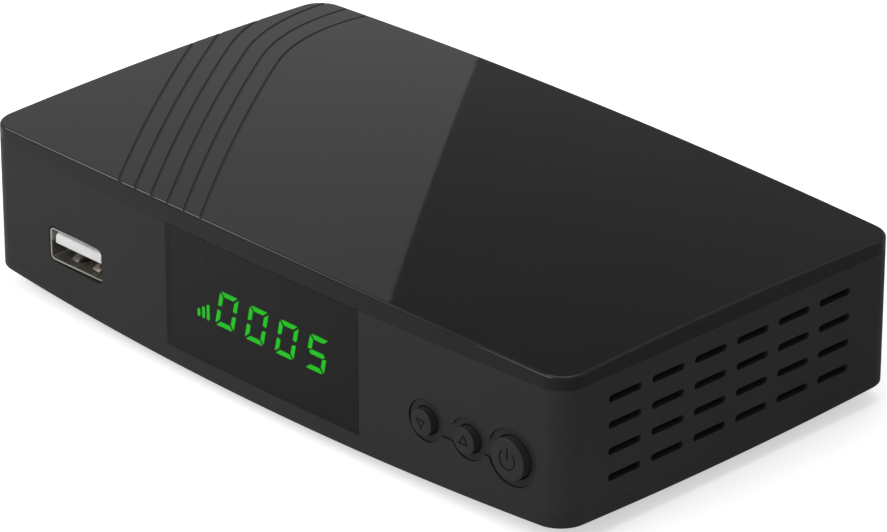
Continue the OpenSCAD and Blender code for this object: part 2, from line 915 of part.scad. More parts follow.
// Front board

module at_header_pins() {
  for (i = [0 : header_pins_n - 1])
    translate([header_x + (i - (header_pins_n - 1) / 2) * header_pitch, 0, 0]) children();
}

// One bent pin: it passes the front board level and the main board upright
module header_pin(grow) {
  w = pin_w + 2 * grow;
  back = front_board_y + front_board_t + header_d / 2 + w / 2;
  mid_z = board_top + pin_up;
  translate([-w / 2, front_board_y - grow, mid_z - w / 2]) cube([w, back - front_board_y + grow, w]);
  translate([-w / 2, back - w, board_bottom - pin_end])
    cube([w, w, mid_z + w / 2 - board_bottom + pin_end]);
}

module front_board() {
  color(board_green)
    difference() {
      translate([front_board_x0, front_board_y, front_board_z0])
        cube([front_board_x1 - front_board_x0, front_board_t, front_board_z1 - front_board_z0]);
      for (x = front_screw_xs)
        bar_y(x, front_screw_z, board_hole_r, front_board_y - cut, front_board_y + front_board_t + cut);
      at_header_pins() header_pin(pin_room);
      at_leads() bar_y(0, 0, lead_r + pin_room, front_board_y - cut, front_board_y + front_board_t + cut);
    }
}

module front_board_screws() {
  color(metal)
    for (x = front_screw_xs)
      translate([x, front_board_y + front_board_t, front_screw_z])
        rotate([90, 0, 0]) screw(small_screw_r, small_screw_len, small_head_r, small_head_h);
}

module display_housing() {
  color("#1d1d1f")
    along_y(display_x, digits_z, display_y + segment_t, front_board_y)
      square([display_w, display_h], center = true);
}

// Six-cornered stroke of a digit, leaning with the digit
function lean(p) = [p[0] + p[1] * tan(digit_lean), p[1]];
function stroke_points(length, upright) =
  let (a = length / 2, b = a - segment_w / 2, h = segment_w / 2)
  [for (p = [[-a, 0], [-b, h], [b, h], [a, 0], [b, -h], [-b, -h]]) upright ? [p[1], p[0]] : p];

// Strokes of one digit: top, upper right, lower right, bottom, lower left, upper left, middle
stroke_gap = 0.12;
side_x = (digit_w - segment_w) / 2;
side_z = (digit_h - segment_w) / 4;
flat_len = digit_w - segment_w - 2 * stroke_gap;
side_len = (digit_h - segment_w) / 2 - 2 * stroke_gap;
strokes = [
  [0, 2 * side_z, false], [side_x, side_z, true], [side_x, -side_z, true], [0, -2 * side_z, false],
  [-side_x, -side_z, true], [-side_x, side_z, true], [0, 0, false]
];
// Strokes that are lit for the figures 0 to 9
lit_strokes = [
  [1, 1, 1, 1, 1, 1, 0],
  [0, 1, 1, 0, 0, 0, 0],
  [1, 1, 0, 1, 1, 0, 1],
  [1, 1, 1, 1, 0, 0, 1],
  [0, 1, 1, 0, 0, 1, 1],
  [1, 0, 1, 1, 0, 1, 1],
  [1, 0, 1, 1, 1, 1, 1],
  [1, 1, 1, 0, 0, 0, 0],
  [1, 1, 1, 1, 1, 1, 1],
  [1, 1, 1, 1, 0, 1, 1]
];
function figure_at(place) = floor(display_number / pow(10, 3 - place)) % 10;

module digit_strokes(lit) {
  for (place = [0 : 3])
    for (k = [0 : 6])
      if (lit_strokes[figure_at(place)][k] == lit) {
        s = strokes[k];
        length = s[2] ? side_len : flat_len;
        along_y(digits_mid + (place - 1.5) * digit_pitch, digits_z, display_y, display_y + segment_t)
          polygon([for (p = stroke_points(length, s[2])) lean([p[0] + s[0], p[1] + s[1]])]);
      }
}

module lit_segments() {
  color("#00c000") {
    digit_strokes(1);
    for (i = [0 : bar_count - 1])
      along_y(bar_x + i * bar_pitch, digits_z - digit_h / 2, display_y, display_y + segment_t)
        square([bar_w, bar_low + (bar_h - bar_low) * i / (bar_count - 1)]);
  }
}

// Unlit strokes, and the two unlit dots between the pairs of digits
module dark_segments() {
  dot_r = 0.4;
  color("#2b3a2b") {
    digit_strokes(0);
    for (s = [-1, 1])
      bar_y(digits_mid + s * side_z * tan(digit_lean), digits_z + s * side_z, dot_r, display_y,
        display_y + segment_t);
  }
}

// The three leads of the infrared receiver
module at_leads() {
  for (i = [-1, 0, 1])
    translate([infrared_x + i * lead_pitch, 0, infrared_z]) children();
}

module infrared_receiver() {
  color("#141418") {
    along_y(infrared_x, infrared_z, infrared_y, infrared_y + infrared_d) square(infrared_w, center = true);
    intersection() {
      translate([infrared_x, infrared_y, infrared_z]) sphere(r = infrared_r);
      translate([infrared_x - infrared_w, infrared_y - infrared_r, infrared_z - infrared_w])
        cube([2 * infrared_w, infrared_r + 1, 2 * infrared_w]);
    }
    at_leads()
      bar_y(0, 0, lead_r, infrared_y + infrared_d / 2, front_board_y + front_board_t + lead_end);
  }
}

module display_driver() {
  color(plastic_black)
    translate([0, front_board_t, 0])
      along_y(display_x, digits_z + driver_up, front_board_y, front_board_y + driver_t)
        square([driver_w, driver_h], center = true);
}

module header_body() {
  w = header_pins_n * header_pitch;
  color(plastic_black)
    difference() {
      translate([header_x - w / 2, front_board_y + front_board_t, board_top]) cube([w, header_d, header_h]);
      at_header_pins() header_pin(pin_room);
    }
}

module header_pins() {
  color("#c9b27a") at_header_pins() header_pin(0);
}

// Main board

module main_board() {
  color(board_green)
    difference() {
      translate([0, 0, board_bottom])
        linear_extrude(height = board_t) {
          translate([-board_x, board_y0]) square([2 * board_x, board_y1 - board_y0]);
          translate([usb_x - board_tab_w / 2, board_tab_y])
            square([board_tab_w, board_y0 - board_tab_y + cut]);
        }
      at_board_screws()
        translate([0, 0, board_bottom - cut]) cylinder(r = board_hole_r, h = board_t + 2 * cut);
      at_header_pins() header_pin(pin_room);
    }
}

module board_screws() {
  color(metal)
    at_board_screws()
      translate([0, 0, board_top])
        mirror([0, 0, 1]) screw(small_screw_r, small_screw_len, small_head_r, small_head_h);
}

// Box of the given size on the board
module on_board(at, size) {
  block(at[0], at[1], size[0], size[1], board_top, board_top + size[2]);
}

module processor() {
  color(plastic_black) on_board(chip_at, chip_size);
}

module thermal_pad() {
  z0 = board_top + chip_size[2];
  color("#9aa3b0") block(chip_x, chip_y, chip_size[0], chip_size[1], z0, z0 + pad_h);
}

module heat_sink() {
  z0 = board_top + chip_size[2] + pad_h;
  color("#3c3f44") {
    block(chip_x, chip_y, sink_w, sink_w, z0, z0 + sink_plate);
    for (i = [0 : fin_count - 1])
      block(chip_x + (i / (fin_count - 1) - 0.5) * (sink_w - fin_t), chip_y, fin_t, sink_w,
        z0 + sink_plate / 2, z0 + sink_h);
  }
}

module memory_chip() {
  color(plastic_black) on_board(memory_at, memory_size);
}

module flash_chip() {
  color(plastic_black) on_board(flash_at, flash_size);
}

module crystal() {
  color(metal) on_board(crystal_at, crystal_size);
}

module regulators() {
  color(plastic_black)
    for (at = regulator_at) on_board(at, regulator_size);
}

module inductors() {
  color("#3a3a3c")
    for (at = inductor_at) on_board(at, inductor_size);
}

module capacitors() {
  color("#20242c")
    for (at = capacitor_at)
      translate([at[0], at[1], board_top]) cylinder(r = capacitor_r, h = capacitor_h);
}

// Tuner: a sheet frame around the aerial sockets' feet, with a lid
tuner_beside = 8.5;
tuner_x0 = aerial_out_x - tuner_beside;
tuner_x1 = aerial_in_x + tuner_beside;
tuner_mid = (tuner_x0 + tuner_x1) / 2;
tuner_w = tuner_x1 - tuner_x0;
tuner_y = board_y1 - tuner_d / 2;

module tuner_frame() {
  color(metal)
    difference() {
      block(tuner_mid, tuner_y, tuner_w, tuner_d, board_top, board_top + tuner_h - tuner_t);
      block(tuner_mid, tuner_y, tuner_w - 2 * tuner_t, tuner_d - 2 * tuner_t,
        board_top - cut, board_top + tuner_h);
      for (x = aerial_xs) bar_y(x, aerial_z, contact_r + hole_gap, board_y1 - 2 * tuner_t, board_y1 + cut);
    }
}

module tuner_lid() {
  dimple_r = 1.2;
  z1 = board_top + tuner_h;
  color(metal)
    difference() {
      block(tuner_mid, tuner_y, tuner_w, tuner_d, z1 - tuner_t, z1);
      for (x = aerial_xs)
        for (s = [-1, 1])
          translate([x, tuner_y + s * tuner_d * 0.3, z1 - tuner_t / 2]) cylinder(r = dimple_r, h = tuner_t);
    }
}

// USB socket

module usb_shell() {
  finger_w = 1.8;
  finger_l = 5;
  finger_t = 0.4;
  color(metal) {
    along_y(usb_x, usb_z, usb_y, usb_y + usb_len)
      difference() {
        round_rect(usb_w, usb_h, usb_round);
        round_rect(usb_w - 2 * usb_t, usb_h - 2 * usb_t, usb_round - usb_t);
      }
    for (s = [-1, 1])
      block(usb_x + s * usb_w * 0.2, usb_y + 1.6 + finger_l / 2, finger_w, finger_l,
        usb_z - usb_h / 2 + usb_t / 2, usb_z - usb_h / 2 + usb_t + finger_t);
  }
}

module usb_tongue() {
  stop_d = 3;
  tongue_w = usb_w - 1.9;
  color("#d8d8d6") {
    along_y(usb_x, usb_z, usb_y + usb_len - stop_d, usb_y + usb_len - 0.3)
      square([usb_w - 2 * usb_t - 0.3, usb_h - 2 * usb_t - 0.3], center = true);
    along_y(usb_x, tongue_z, usb_y + usb_tongue_in, usb_y + usb_len - stop_d / 2)
      square([tongue_w, usb_tongue_t], center = true);
  }
}

module usb_contacts() {
  strip_t = 0.2;
  strip_w = 1;
  strip_l = 8;
  strip_pitch = 2.3;
  color("#c9b27a")
    for (i = [-1.5 : 1 : 1.5])
      block(usb_x + i * strip_pitch, usb_y + usb_tongue_in + strip_l / 2 + 0.8, strip_w, strip_l,
        tongue_z - usb_tongue_t / 2 - strip_t, tongue_z - usb_tongue_t / 2);
}

// Rear sockets

// Mouth of the picture socket: a box with its two lower corners sloped
module hdmi_plan(inset) {
  half = hdmi_w / 2 - inset;
  top = hdmi_h / 2 - inset;
  slope = hdmi_slope - inset * 0.4;
  polygon([
    [-half, top], [half, top], [half, slope - top],
    [half - slope, -top], [slope - half, -top], [-half, slope - top]
  ]);
}

module hdmi_shell() {
  color(metal)
    along_y(hdmi_x, hdmi_z, hdmi_end - hdmi_len, hdmi_end)
      difference() {
        hdmi_plan(0);
        hdmi_plan(hdmi_t);
      }
}

module hdmi_tongue() {
  stop_d = 2.5;
  y0 = hdmi_end - hdmi_len;
  color("#202022") {
    along_y(hdmi_x, hdmi_z, y0 + 0.2, y0 + stop_d) hdmi_plan(hdmi_t + 0.12);
    along_y(hdmi_x, hdmi_z, y0 + stop_d / 2, hdmi_end - hdmi_tongue_in)
      square([hdmi_tongue_w, hdmi_tongue_t], center = true);
  }
}

module hdmi_contacts() {
  strip_t = 0.15;
  strip_w = 0.5;
  strip_l = 6;
  strip_in = 2.2;
  strip_pitch = 1.1;
  color("#c9b27a")
    for (z = [hdmi_tongue_t / 2, -hdmi_tongue_t / 2 - strip_t])
      for (i = [-4 : 4])
        block(hdmi_x + i * strip_pitch, hdmi_end - strip_in - strip_l / 2, strip_w, strip_l,
          hdmi_z + z, hdmi_z + z + strip_t);
}

module av_jack_body() {
  color(plastic_black)
    difference() {
      block(av_x, (av_y0 + panel_y) / 2, av_w, panel_y - av_y0, board_top, board_top + av_h);
      bar_y(av_x, av_z, av_bore_r, av_end - av_bore_len, panel_y + cut);
      av_contact_shapes(pin_room);
    }
}

module av_jack_bush() {
  color(metal)
    difference() {
      bar_y(av_x, av_z, av_nose_r, panel_y, av_end);
      bar_y(av_x, av_z, av_bore_r, panel_y - cut, av_end + cut);
    }
}

// Side springs of the jack, let into its flanks and footed on the board
module av_contact_shapes(grow) {
  leaf_t = 0.6;
  leaf_w = 1.8;
  for (s = [-1, 1])
    for (y = [3, 8])
      block(av_x + s * (av_w - leaf_t) / 2, av_y0 + y, leaf_t + 2 * grow, leaf_w + 2 * grow,
        board_top - grow, board_top + av_h * 0.7 + grow);
}

module av_contacts() {
  color(metal) av_contact_shapes(0);
}

module dc_jack_body() {
  y1 = panel_y;
  color(plastic_black)
    difference() {
      union() {
        block(dc_x, y1 - dc_d / 2, dc_w, dc_d, board_top, board_top + dc_h);
        bar_y(dc_x, dc_z, dc_nose_r, y1 - 1, dc_end);
      }
      bar_y(dc_x, dc_z, dc_bore_r, dc_end - dc_bore_len, dc_end + cut);
      bar_y(dc_x, dc_z, dc_pin_r + pin_room, y1 - dc_d - cut, dc_end);
      dc_spring_shape(pin_room);
    }
}

// Centre pin with a round tip
module dc_jack_pin() {
  tip = dc_end - pin_short;
  color(metal) {
    bar_y(dc_x, dc_z, dc_pin_r, panel_y - dc_d, tip - dc_pin_r);
    translate([dc_x, tip - dc_pin_r, dc_z]) sphere(r = dc_pin_r);
  }
}

// Flat spring under the bore, footed on the board
module dc_spring_shape(grow) {
  leaf_w = 2.4;
  leaf_d = 3;
  under = 0.3;
  block(dc_x, panel_y - dc_d / 2, leaf_w + 2 * grow, leaf_d + 2 * grow,
    board_top - grow, dc_z - dc_bore_r - under + grow);
}

module dc_jack_spring() {
  color(metal) dc_spring_shape(0);
}

module aerial_in_shell() {
  color(metal)
    difference() {
      bar_y(aerial_in_x, aerial_z, aerial_collar_r, board_y1, socket_end);
      bar_y(aerial_in_x, aerial_z, aerial_bore_r, board_y1 - cut, socket_end + cut);
    }
}

module aerial_in_insulator() {
  color("#e8e6df")
    difference() {
      bar_y(aerial_in_x, aerial_z, aerial_bore_r - pin_room, board_y1, board_y1 + insulator_t);
      bar_y(aerial_in_x, aerial_z, contact_r + pin_room, board_y1 - cut, board_y1 + insulator_t + cut);
    }
}

module aerial_in_contact() {
  color("#c9b27a")
    difference() {
      bar_y(aerial_in_x, aerial_z, contact_r, board_y1 - pin_root, socket_end - 2 * pin_short);
      bar_y(aerial_in_x, aerial_z, contact_bore_r, y_back, socket_end);
    }
}

module aerial_out_shell() {
  color(metal)
    difference() {
      union() {
        bar_y(aerial_out_x, aerial_z, aerial_collar_r, board_y1, y_back + aerial_collar_len);
        bar_y(aerial_out_x, aerial_z, aerial_pin_r, board_y1, socket_end);
      }
      bar_y(aerial_out_x, aerial_z, aerial_out_bore_r, board_y1 - cut, socket_end + cut);
    }
}

module aerial_out_insulator() {
  color("#e8e6df")
    difference() {
      bar_y(aerial_out_x, aerial_z, aerial_out_bore_r - pin_room, board_y1, board_y1 + insulator_t);
      bar_y(aerial_out_x, aerial_z, contact_bore_r + pin_room, board_y1 - cut, board_y1 + insulator_t + cut);
    }
}

module aerial_out_pin() {
  tip = socket_end - pin_short;
  color("#c9b27a")
    union() {
      bar_y(aerial_out_x, aerial_z, contact_bore_r, board_y1 - pin_root, tip - contact_bore_r);
      translate([aerial_out_x, tip - contact_bore_r, aerial_z]) sphere(r = contact_bore_r);
    }
}

top_cover();
wall_ring();
bottom_cover();
display_window();
rubber_feet();
case_screws();
down_button();
up_button();
power_button();
down_plunger();
up_plunger();
power_plunger();
down_switch_base();
up_switch_base();
power_switch_base();
down_switch_cover();
up_switch_cover();
power_switch_cover();
contact_domes();
front_board();
front_board_screws();
display_housing();
lit_segments();
dark_segments();
infrared_receiver();
display_driver();
header_body();
header_pins();
main_board();
board_screws();
processor();
thermal_pad();
heat_sink();
memory_chip();
flash_chip();
crystal();
regulators();
inductors();
capacitors();
tuner_frame();
tuner_lid();
usb_shell();
usb_tongue();
usb_contacts();
hdmi_shell();
hdmi_tongue();
hdmi_contacts();
av_jack_body();
av_jack_bush();
av_contacts();
dc_jack_body();
dc_jack_pin();
dc_jack_spring();
aerial_in_shell();
aerial_in_insulator();
aerial_in_contact();
aerial_out_shell();
aerial_out_insulator();
aerial_out_pin();
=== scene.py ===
"""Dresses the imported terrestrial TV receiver: shells, window, display, buttons, sockets and studio.

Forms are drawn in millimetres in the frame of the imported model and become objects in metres.
"""

import json
import logging
import math
from dataclasses import dataclass, field
from enum import Enum
from typing import Callable, Iterable, Sequence

import bmesh
import bpy
from mathutils import Matrix, Vector


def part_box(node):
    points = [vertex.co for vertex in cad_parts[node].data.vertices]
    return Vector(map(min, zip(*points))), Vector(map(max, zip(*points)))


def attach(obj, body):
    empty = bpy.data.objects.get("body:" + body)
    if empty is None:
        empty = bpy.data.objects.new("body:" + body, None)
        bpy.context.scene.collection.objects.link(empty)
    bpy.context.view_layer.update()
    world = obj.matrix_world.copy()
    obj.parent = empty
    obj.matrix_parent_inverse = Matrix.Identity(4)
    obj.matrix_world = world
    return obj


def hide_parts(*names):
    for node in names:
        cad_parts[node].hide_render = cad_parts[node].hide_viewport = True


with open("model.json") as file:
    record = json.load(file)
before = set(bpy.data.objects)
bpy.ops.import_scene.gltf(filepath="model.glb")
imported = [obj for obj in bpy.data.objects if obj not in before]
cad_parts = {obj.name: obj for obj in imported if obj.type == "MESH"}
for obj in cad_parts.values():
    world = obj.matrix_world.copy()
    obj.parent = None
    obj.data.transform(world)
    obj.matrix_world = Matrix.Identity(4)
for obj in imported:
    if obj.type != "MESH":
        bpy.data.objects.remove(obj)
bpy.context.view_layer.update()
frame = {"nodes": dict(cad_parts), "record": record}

# One millimetre in metres, and the distance in millimetres under which two places count as one.
MM = 0.001
TOUCH = 1e-4
# Angle from which an edge is rounded.
SHARP_EDGE = math.radians(40.0)

Point = tuple[float, float, float]
Color = tuple[float, float, float]
Pair = tuple[float, float]
Socket = bpy.types.NodeSocket
Faces = list[bmesh.types.BMFace]
Parts = list[bmesh.types.BMVert | bmesh.types.BMEdge | bmesh.types.BMFace]

log = logging.getLogger("receiver")


class Facing(Enum):
    """Where the normal of a flat drawing points once it is turned into place."""

    FRONT = "front"
    SIDE = "side"

    @property
    def matrix(self) -> Matrix:
        """Rotation that takes the XY drawing into this facing."""
        turns = {
            Facing.FRONT: ((1, 0, 0), (0, 0, -1), (0, 1, 0)),
            Facing.SIDE: ((0, 0, 1), (1, 0, 0), (0, 1, 0)),
        }
        return Matrix(turns[self])


class Carve(Enum):
    """How one form acts on another."""

    CUT = "DIFFERENCE"
    JOIN = "UNION"


class Sign(Enum):
    """Sign engraved in the face of each push button, from the left."""

    DOWN = "down"
    UP = "up"
    POWER = "power"


class Slot(Enum):
    """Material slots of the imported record."""

    CASE_GLOSS = "case_gloss"
    CASE_SATIN = "case_satin"
    SMOKED_WINDOW = "smoked_window"
    FOOT_RUBBER = "foot_rubber"
    BLACK_STEEL = "black_steel"
    BUTTON_PLASTIC = "button_plastic"
    KEY_PLASTIC = "key_plastic"
    TIN_PLATE = "tin_plate"
    BOARD_GREEN = "board_green"
    ZINC_STEEL = "zinc_steel"
    DISPLAY_BODY = "display_body"
    LIT_GREEN = "lit_green"
    UNLIT_GREEN = "unlit_green"
    INFRARED_PLASTIC = "infrared_plastic"
    CHIP_BLACK = "chip_black"
    BLACK_PLASTIC = "black_plastic"
    GILT_CONTACT = "gilt_contact"
    PAD_RUBBER = "pad_rubber"
    ANODISED_ALUMINIUM = "anodised_aluminium"
    FERRITE = "ferrite"
    CAPACITOR_SLEEVE = "capacitor_sleeve"
    NICKEL_PLATE = "nickel_plate"
    PALE_PLASTIC = "pale_plastic"


class Graph:
    """Node tree of one material, with its shader and Object coordinates."""

    def __init__(self, name: str) -> None:
        """Starts the tree of a new material.

        Args:
            name: Name of the material.
        """
        self.material = bpy.data.materials.new(name)
        self.material.use_nodes = True
        self.tree = self.material.node_tree
        self.shader = self.tree.nodes["Principled BSDF"]
        self.place = self.add("ShaderNodeTexCoord").outputs["Object"]

    def add(self, kind: str) -> bpy.types.Node:
        """Adds a node of the given kind."""
        return self.tree.nodes.new(kind)

    def join(self, start: Socket, end: Socket) -> None:
        """Links two sockets."""
        self.tree.links.new(start, end)

    def set(self, name: str, value: float | Color) -> None:
        """Sets a socket of the shader to one number or colour."""
        self.shader.inputs[name].default_value = (*value, 1.0) if isinstance(value, tuple) else value

    def feed(self, name: str, value: Socket) -> None:
        """Links a value to a socket of the shader."""
        self.join(value, self.shader.inputs[name])

    def texture(self, kind: str, size: float, stretch: Point) -> bpy.types.Node:
        """A texture on Object coordinates.

        Args:
            kind: Kind of the texture node.
            size: Size of its cells in millimetres.
            stretch: Length of a cell along each axis, in cells.

        Returns:
            The texture node.
        """
        mapping = self.add("ShaderNodeMapping")
        mapping.inputs["Scale"].default_value = [1 / (size * MM * long) for long in stretch]
        self.join(self.place, mapping.inputs["Vector"])
        node = self.add(kind)
        node.inputs["Scale"].default_value = 1.0
        self.join(mapping.outputs["Vector"], node.inputs["Vector"])
        return node

    def noise(self, size: float, detail: float = 2.0, stretch: Point = (1, 1, 1)) -> Socket:
        """Soft noise with cells of a size.

        Args:
            size: Cell size in millimetres.
            detail: Octaves of finer noise.
            stretch: Length of a cell along each axis, in cells.

        Returns:
            The noise value socket.
        """
        node = self.texture("ShaderNodeTexNoise", size, stretch)
        node.inputs["Detail"].default_value = detail
        return node.outputs["Fac"]

    def cells(self, size: float, stretch: Point) -> Socket:
        """Distance to the borders of random cells.

        Args:
            size: Cell size in millimetres.
            stretch: Length of a cell along each axis, in cells.

        Returns:
            The distance socket.
        """
        node = self.texture("ShaderNodeTexVoronoi", size, stretch)
        node.feature = "DISTANCE_TO_EDGE"
        return node.outputs["Distance"]

    def spread(self, value: Socket, result: Pair = (0.0, 1.0), reach: Pair = (0.3, 0.7)) -> Socket:
        """Takes a value from one range to another.

        Args:
            value: Socket with the value.
            result: Results at the start and the end of the reach.
            reach: Start and end of the range of the value.

        Returns:
            The socket with the result.
        """
        node = self.add("ShaderNodeMapRange")
        ends = zip(("From Min", "From Max", "To Min", "To Max"), (*reach, *result))
        for name, level in ends:
            node.inputs[name].default_value = level
        self.join(value, node.inputs["Value"])
        return node.outputs["Result"]

    def blend(self, share: Socket, first: Color, second: Color) -> Socket:
        """Colour between two colours.

        Args:
            share: Socket with the share of the second colour.
            first: First colour.
            second: Second colour.

        Returns:
            The colour socket.
        """
        node = self.add("ShaderNodeMix")
        node.data_type = "RGBA"
        sockets = [socket for socket in node.inputs if socket.type == "RGBA"]
        for socket, color in zip(sockets, (first, second)):
            socket.default_value = (*color, 1.0)
        self.join(share, node.inputs["Factor"])
        return next(socket for socket in node.outputs if socket.type == "RGBA")

    def bump(self, value: Socket, height: float) -> None:
        """Raises the surface by a value.

        Args:
            value: Socket with the height as a share.
            height: Full height in millimetres.
        """
        node = self.add("ShaderNodeBump")
        node.inputs["Distance"].default_value = height * MM
        self.join(value, node.inputs["Height"])
        self.feed("Normal", node.outputs["Normal"])


@dataclass(frozen=True)
class Finish:
    """Moulded, plated or painted finish with mottled colour, uneven gloss and a fine grain."""

    color: Color
    roughness: float
    metallic: float = 0.0
    specular: float = 0.5
    mottle: float = 0.12
    mottle_size: float = 6.0
    mottle_detail: float = 3.0
    gloss_spread: float = 0.04
    gloss_share: float = 0.6
    least_roughness: float = 0.01
    grain_size: float = 0.2
    grain_height: float = 0.001
    stretch: Point = (1.0, 1.0, 1.0)

    def material(self, name: str) -> bpy.types.Material:
        """Builds the finish as a material.

        Args:
            name: Name of the material.

        Returns:
            The node material.
        """
        graph = Graph(name)
        self.prepare(graph)
        self.tint(graph)
        self.polish(graph)
        return graph.material

    def prepare(self, graph: Graph) -> None:
        """Gives the shader the values that are the same all over."""
        graph.set("Metallic", self.metallic)
        graph.set("Specular IOR Level", self.specular)

    def shade(self, change: float) -> Color:
        """The colour made lighter or darker by a share."""
        return tuple(min(1.0, part * (1 + change)) for part in self.color)

    def tint(self, graph: Graph) -> None:
        """Gives the shader the mottled colour."""
        cloud = graph.spread(graph.noise(self.mottle_size, self.mottle_detail, self.stretch))
        graph.feed("Base Color", graph.blend(cloud, self.shade(-self.mottle), self.shade(self.mottle)))

    def polish(self, graph: Graph) -> None:
        """Gives the shader uneven roughness and, unless it is polished, the fine grain.

        Args:
            graph: Node tree of the material.
        """
        uneven = graph.noise(self.mottle_size * self.gloss_share, stretch=self.stretch)
        low = max(self.least_roughness, self.roughness - self.gloss_spread)
        graph.feed("Roughness", graph.spread(uneven, (low, self.roughness + self.gloss_spread)))
        if self.grain_height > 0:
            graph.bump(graph.noise(self.grain_size, stretch=self.stretch), self.grain_height)


@dataclass(frozen=True)
class SmokedClear(Finish):
    """Polished clear plastic with a smoke tint."""

    refraction: float = 1.49

    def prepare(self, graph: Graph) -> None:
        """Makes the shader clear.

        Args:
            graph: Node tree of the material.
        """
        super().prepare(graph)
        graph.set("Transmission Weight", 1.0)
        graph.set("IOR", self.refraction)


@dataclass(frozen=True)
class LitStroke(Finish):
    """Glowing stroke of the display."""

    glow: float = 1.0

    def prepare(self, graph: Graph) -> None:
        """Makes the shader glow in its colour.

        Args:
            graph: Node tree of the material.
        """
        super().prepare(graph)
        graph.set("Emission Color", self.color)
        graph.set("Emission Strength", self.glow)


@dataclass(frozen=True)
class BoardLacquer(Finish):
    """Green lacquer over copper tracks."""

    track_color: Color = (0.035, 0.17, 0.065)
    track_size: float = 3.2
    track_stretch: Point = (1.0, 2.5, 1.0)
    track_edge: Pair = (0.10, 0.14)

    def tint(self, graph: Graph) -> None:
        """Gives the shader the lacquer with lighter bands where copper lies under it."""
        track = graph.spread(graph.cells(self.track_size, self.track_stretch), (1.0, 0.0), self.track_edge)
        graph.feed("Base Color", graph.blend(track, self.color, self.track_color))


@dataclass(frozen=True)
class Speckled(Finish):
    """Pressed powder or filled resin with fine pale specks."""

    speck_color: Color = (0.12, 0.12, 0.12)
    speck_size: float = 0.25
    speck_share: float = 0.6
    speck_edge: Pair = (0.58, 0.72)

    def tint(self, graph: Graph) -> None:
        """Gives the shader the base colour with specks."""
        noise = graph.noise(self.speck_size, detail=1.0)
        speck = graph.spread(noise, (0.0, self.speck_share), self.speck_edge)
        graph.feed("Base Color", graph.blend(speck, self.color, self.speck_color))


FINISHES: dict[Slot, Finish] = {
    Slot.CASE_GLOSS: Finish((0.007, 0.007, 0.0072), 0.022, specular=0.4, mottle=0.1, mottle_size=20,
                            gloss_spread=0.008, grain_height=0.0),
    Slot.CASE_SATIN: Finish((0.026, 0.026, 0.026), 0.42, specular=0.2, mottle=0.06, mottle_size=14,
                            gloss_spread=0.03, grain_size=0.16, grain_height=0.0008),
    Slot.SMOKED_WINDOW: SmokedClear((0.1, 0.1, 0.1), 0.02, specular=0.5, mottle=0.04, mottle_size=16,
                                    gloss_spread=0.005, grain_height=0.0, refraction=1.385),
    Slot.FOOT_RUBBER: Finish((0.014, 0.014, 0.015), 0.75, specular=0.25, mottle=0.2, mottle_size=2.5,
                             grain_size=0.18, grain_height=0.01),
    Slot.BLACK_STEEL: Finish((0.06, 0.06, 0.065), 0.38, metallic=1.0, mottle=0.25, mottle_size=0.8,
                             grain_size=0.12, grain_height=0.002),
    Slot.BUTTON_PLASTIC: Finish((0.026, 0.026, 0.026), 0.42, specular=0.2, mottle=0.06, mottle_size=3,
                                gloss_spread=0.03, grain_size=0.14, grain_height=0.0008),
    Slot.KEY_PLASTIC: Finish((0.02, 0.02, 0.021), 0.5, specular=0.4, mottle_size=1.5),
    Slot.TIN_PLATE: Finish((0.58, 0.585, 0.59), 0.34, metallic=1.0, mottle=0.14, mottle_size=5,
                           gloss_spread=0.09, grain_size=0.3, grain_height=0.002),
    Slot.BOARD_GREEN: BoardLacquer((0.012, 0.085, 0.03), 0.32, grain_size=0.5, grain_height=0.01),
    Slot.ZINC_STEEL: Finish((0.55, 0.56, 0.58), 0.3, metallic=1.0, mottle=0.2, mottle_size=0.7),
    Slot.DISPLAY_BODY: Finish((0.005, 0.005, 0.0055), 0.6, specular=0.1, mottle=0.15, mottle_size=2),
    Slot.LIT_GREEN: LitStroke((0.0, 1.0, 0.0), 0.5, mottle_size=0.8, glow=5.4),
    Slot.UNLIT_GREEN: Finish((0.010, 0.013, 0.010), 0.55, specular=0.1, mottle_size=0.8),
    Slot.INFRARED_PLASTIC: Finish((0.03, 0.006, 0.012), 0.15, mottle_size=1.0),
    Slot.CHIP_BLACK: Speckled((0.016, 0.016, 0.017), 0.55, speck_color=(0.05, 0.05, 0.05)),
    Slot.BLACK_PLASTIC: Finish((0.013, 0.013, 0.014), 0.45, specular=0.35, mottle_size=2, grain_size=0.15,
                               grain_height=0.002),
    Slot.GILT_CONTACT: Finish((0.80, 0.60, 0.27), 0.26, metallic=1.0, mottle=0.1, mottle_size=0.6),
    Slot.PAD_RUBBER: Finish((0.32, 0.36, 0.42), 0.8, mottle_size=1.2, grain_size=0.2, grain_height=0.01),
    Slot.ANODISED_ALUMINIUM: Finish((0.52, 0.53, 0.55), 0.38, metallic=1.0, mottle=0.08, mottle_size=0.5,
                                    grain_size=0.1, grain_height=0.001, stretch=(1, 30, 1)),
    Slot.FERRITE: Speckled((0.045, 0.045, 0.05), 0.62, speck_color=(0.16, 0.16, 0.17), grain_height=0.008),
    Slot.CAPACITOR_SLEEVE: Finish((0.018, 0.02, 0.045), 0.33, mottle_size=2.0),
    Slot.NICKEL_PLATE: Finish((0.66, 0.645, 0.62), 0.24, metallic=1.0, mottle=0.05, mottle_size=3.0,
                              gloss_spread=0.03, grain_size=0.4, grain_height=0.0004),
    Slot.PALE_PLASTIC: Finish((0.78, 0.78, 0.77), 0.4, mottle=0.05, mottle_size=1.5, grain_size=0.2,
                              grain_height=0.002),
}


class Wardrobe:
    """Makes each finish once and hands it to the pieces that wear it."""

    made: dict[Slot, bpy.types.Material] = {}

    @classmethod
    def material(cls, slot: Slot) -> bpy.types.Material:
        """The material of a slot, made on its first use."""
        if slot not in cls.made:
            cls.made[slot] = FINISHES[slot].material(slot.value)
        return cls.made[slot]


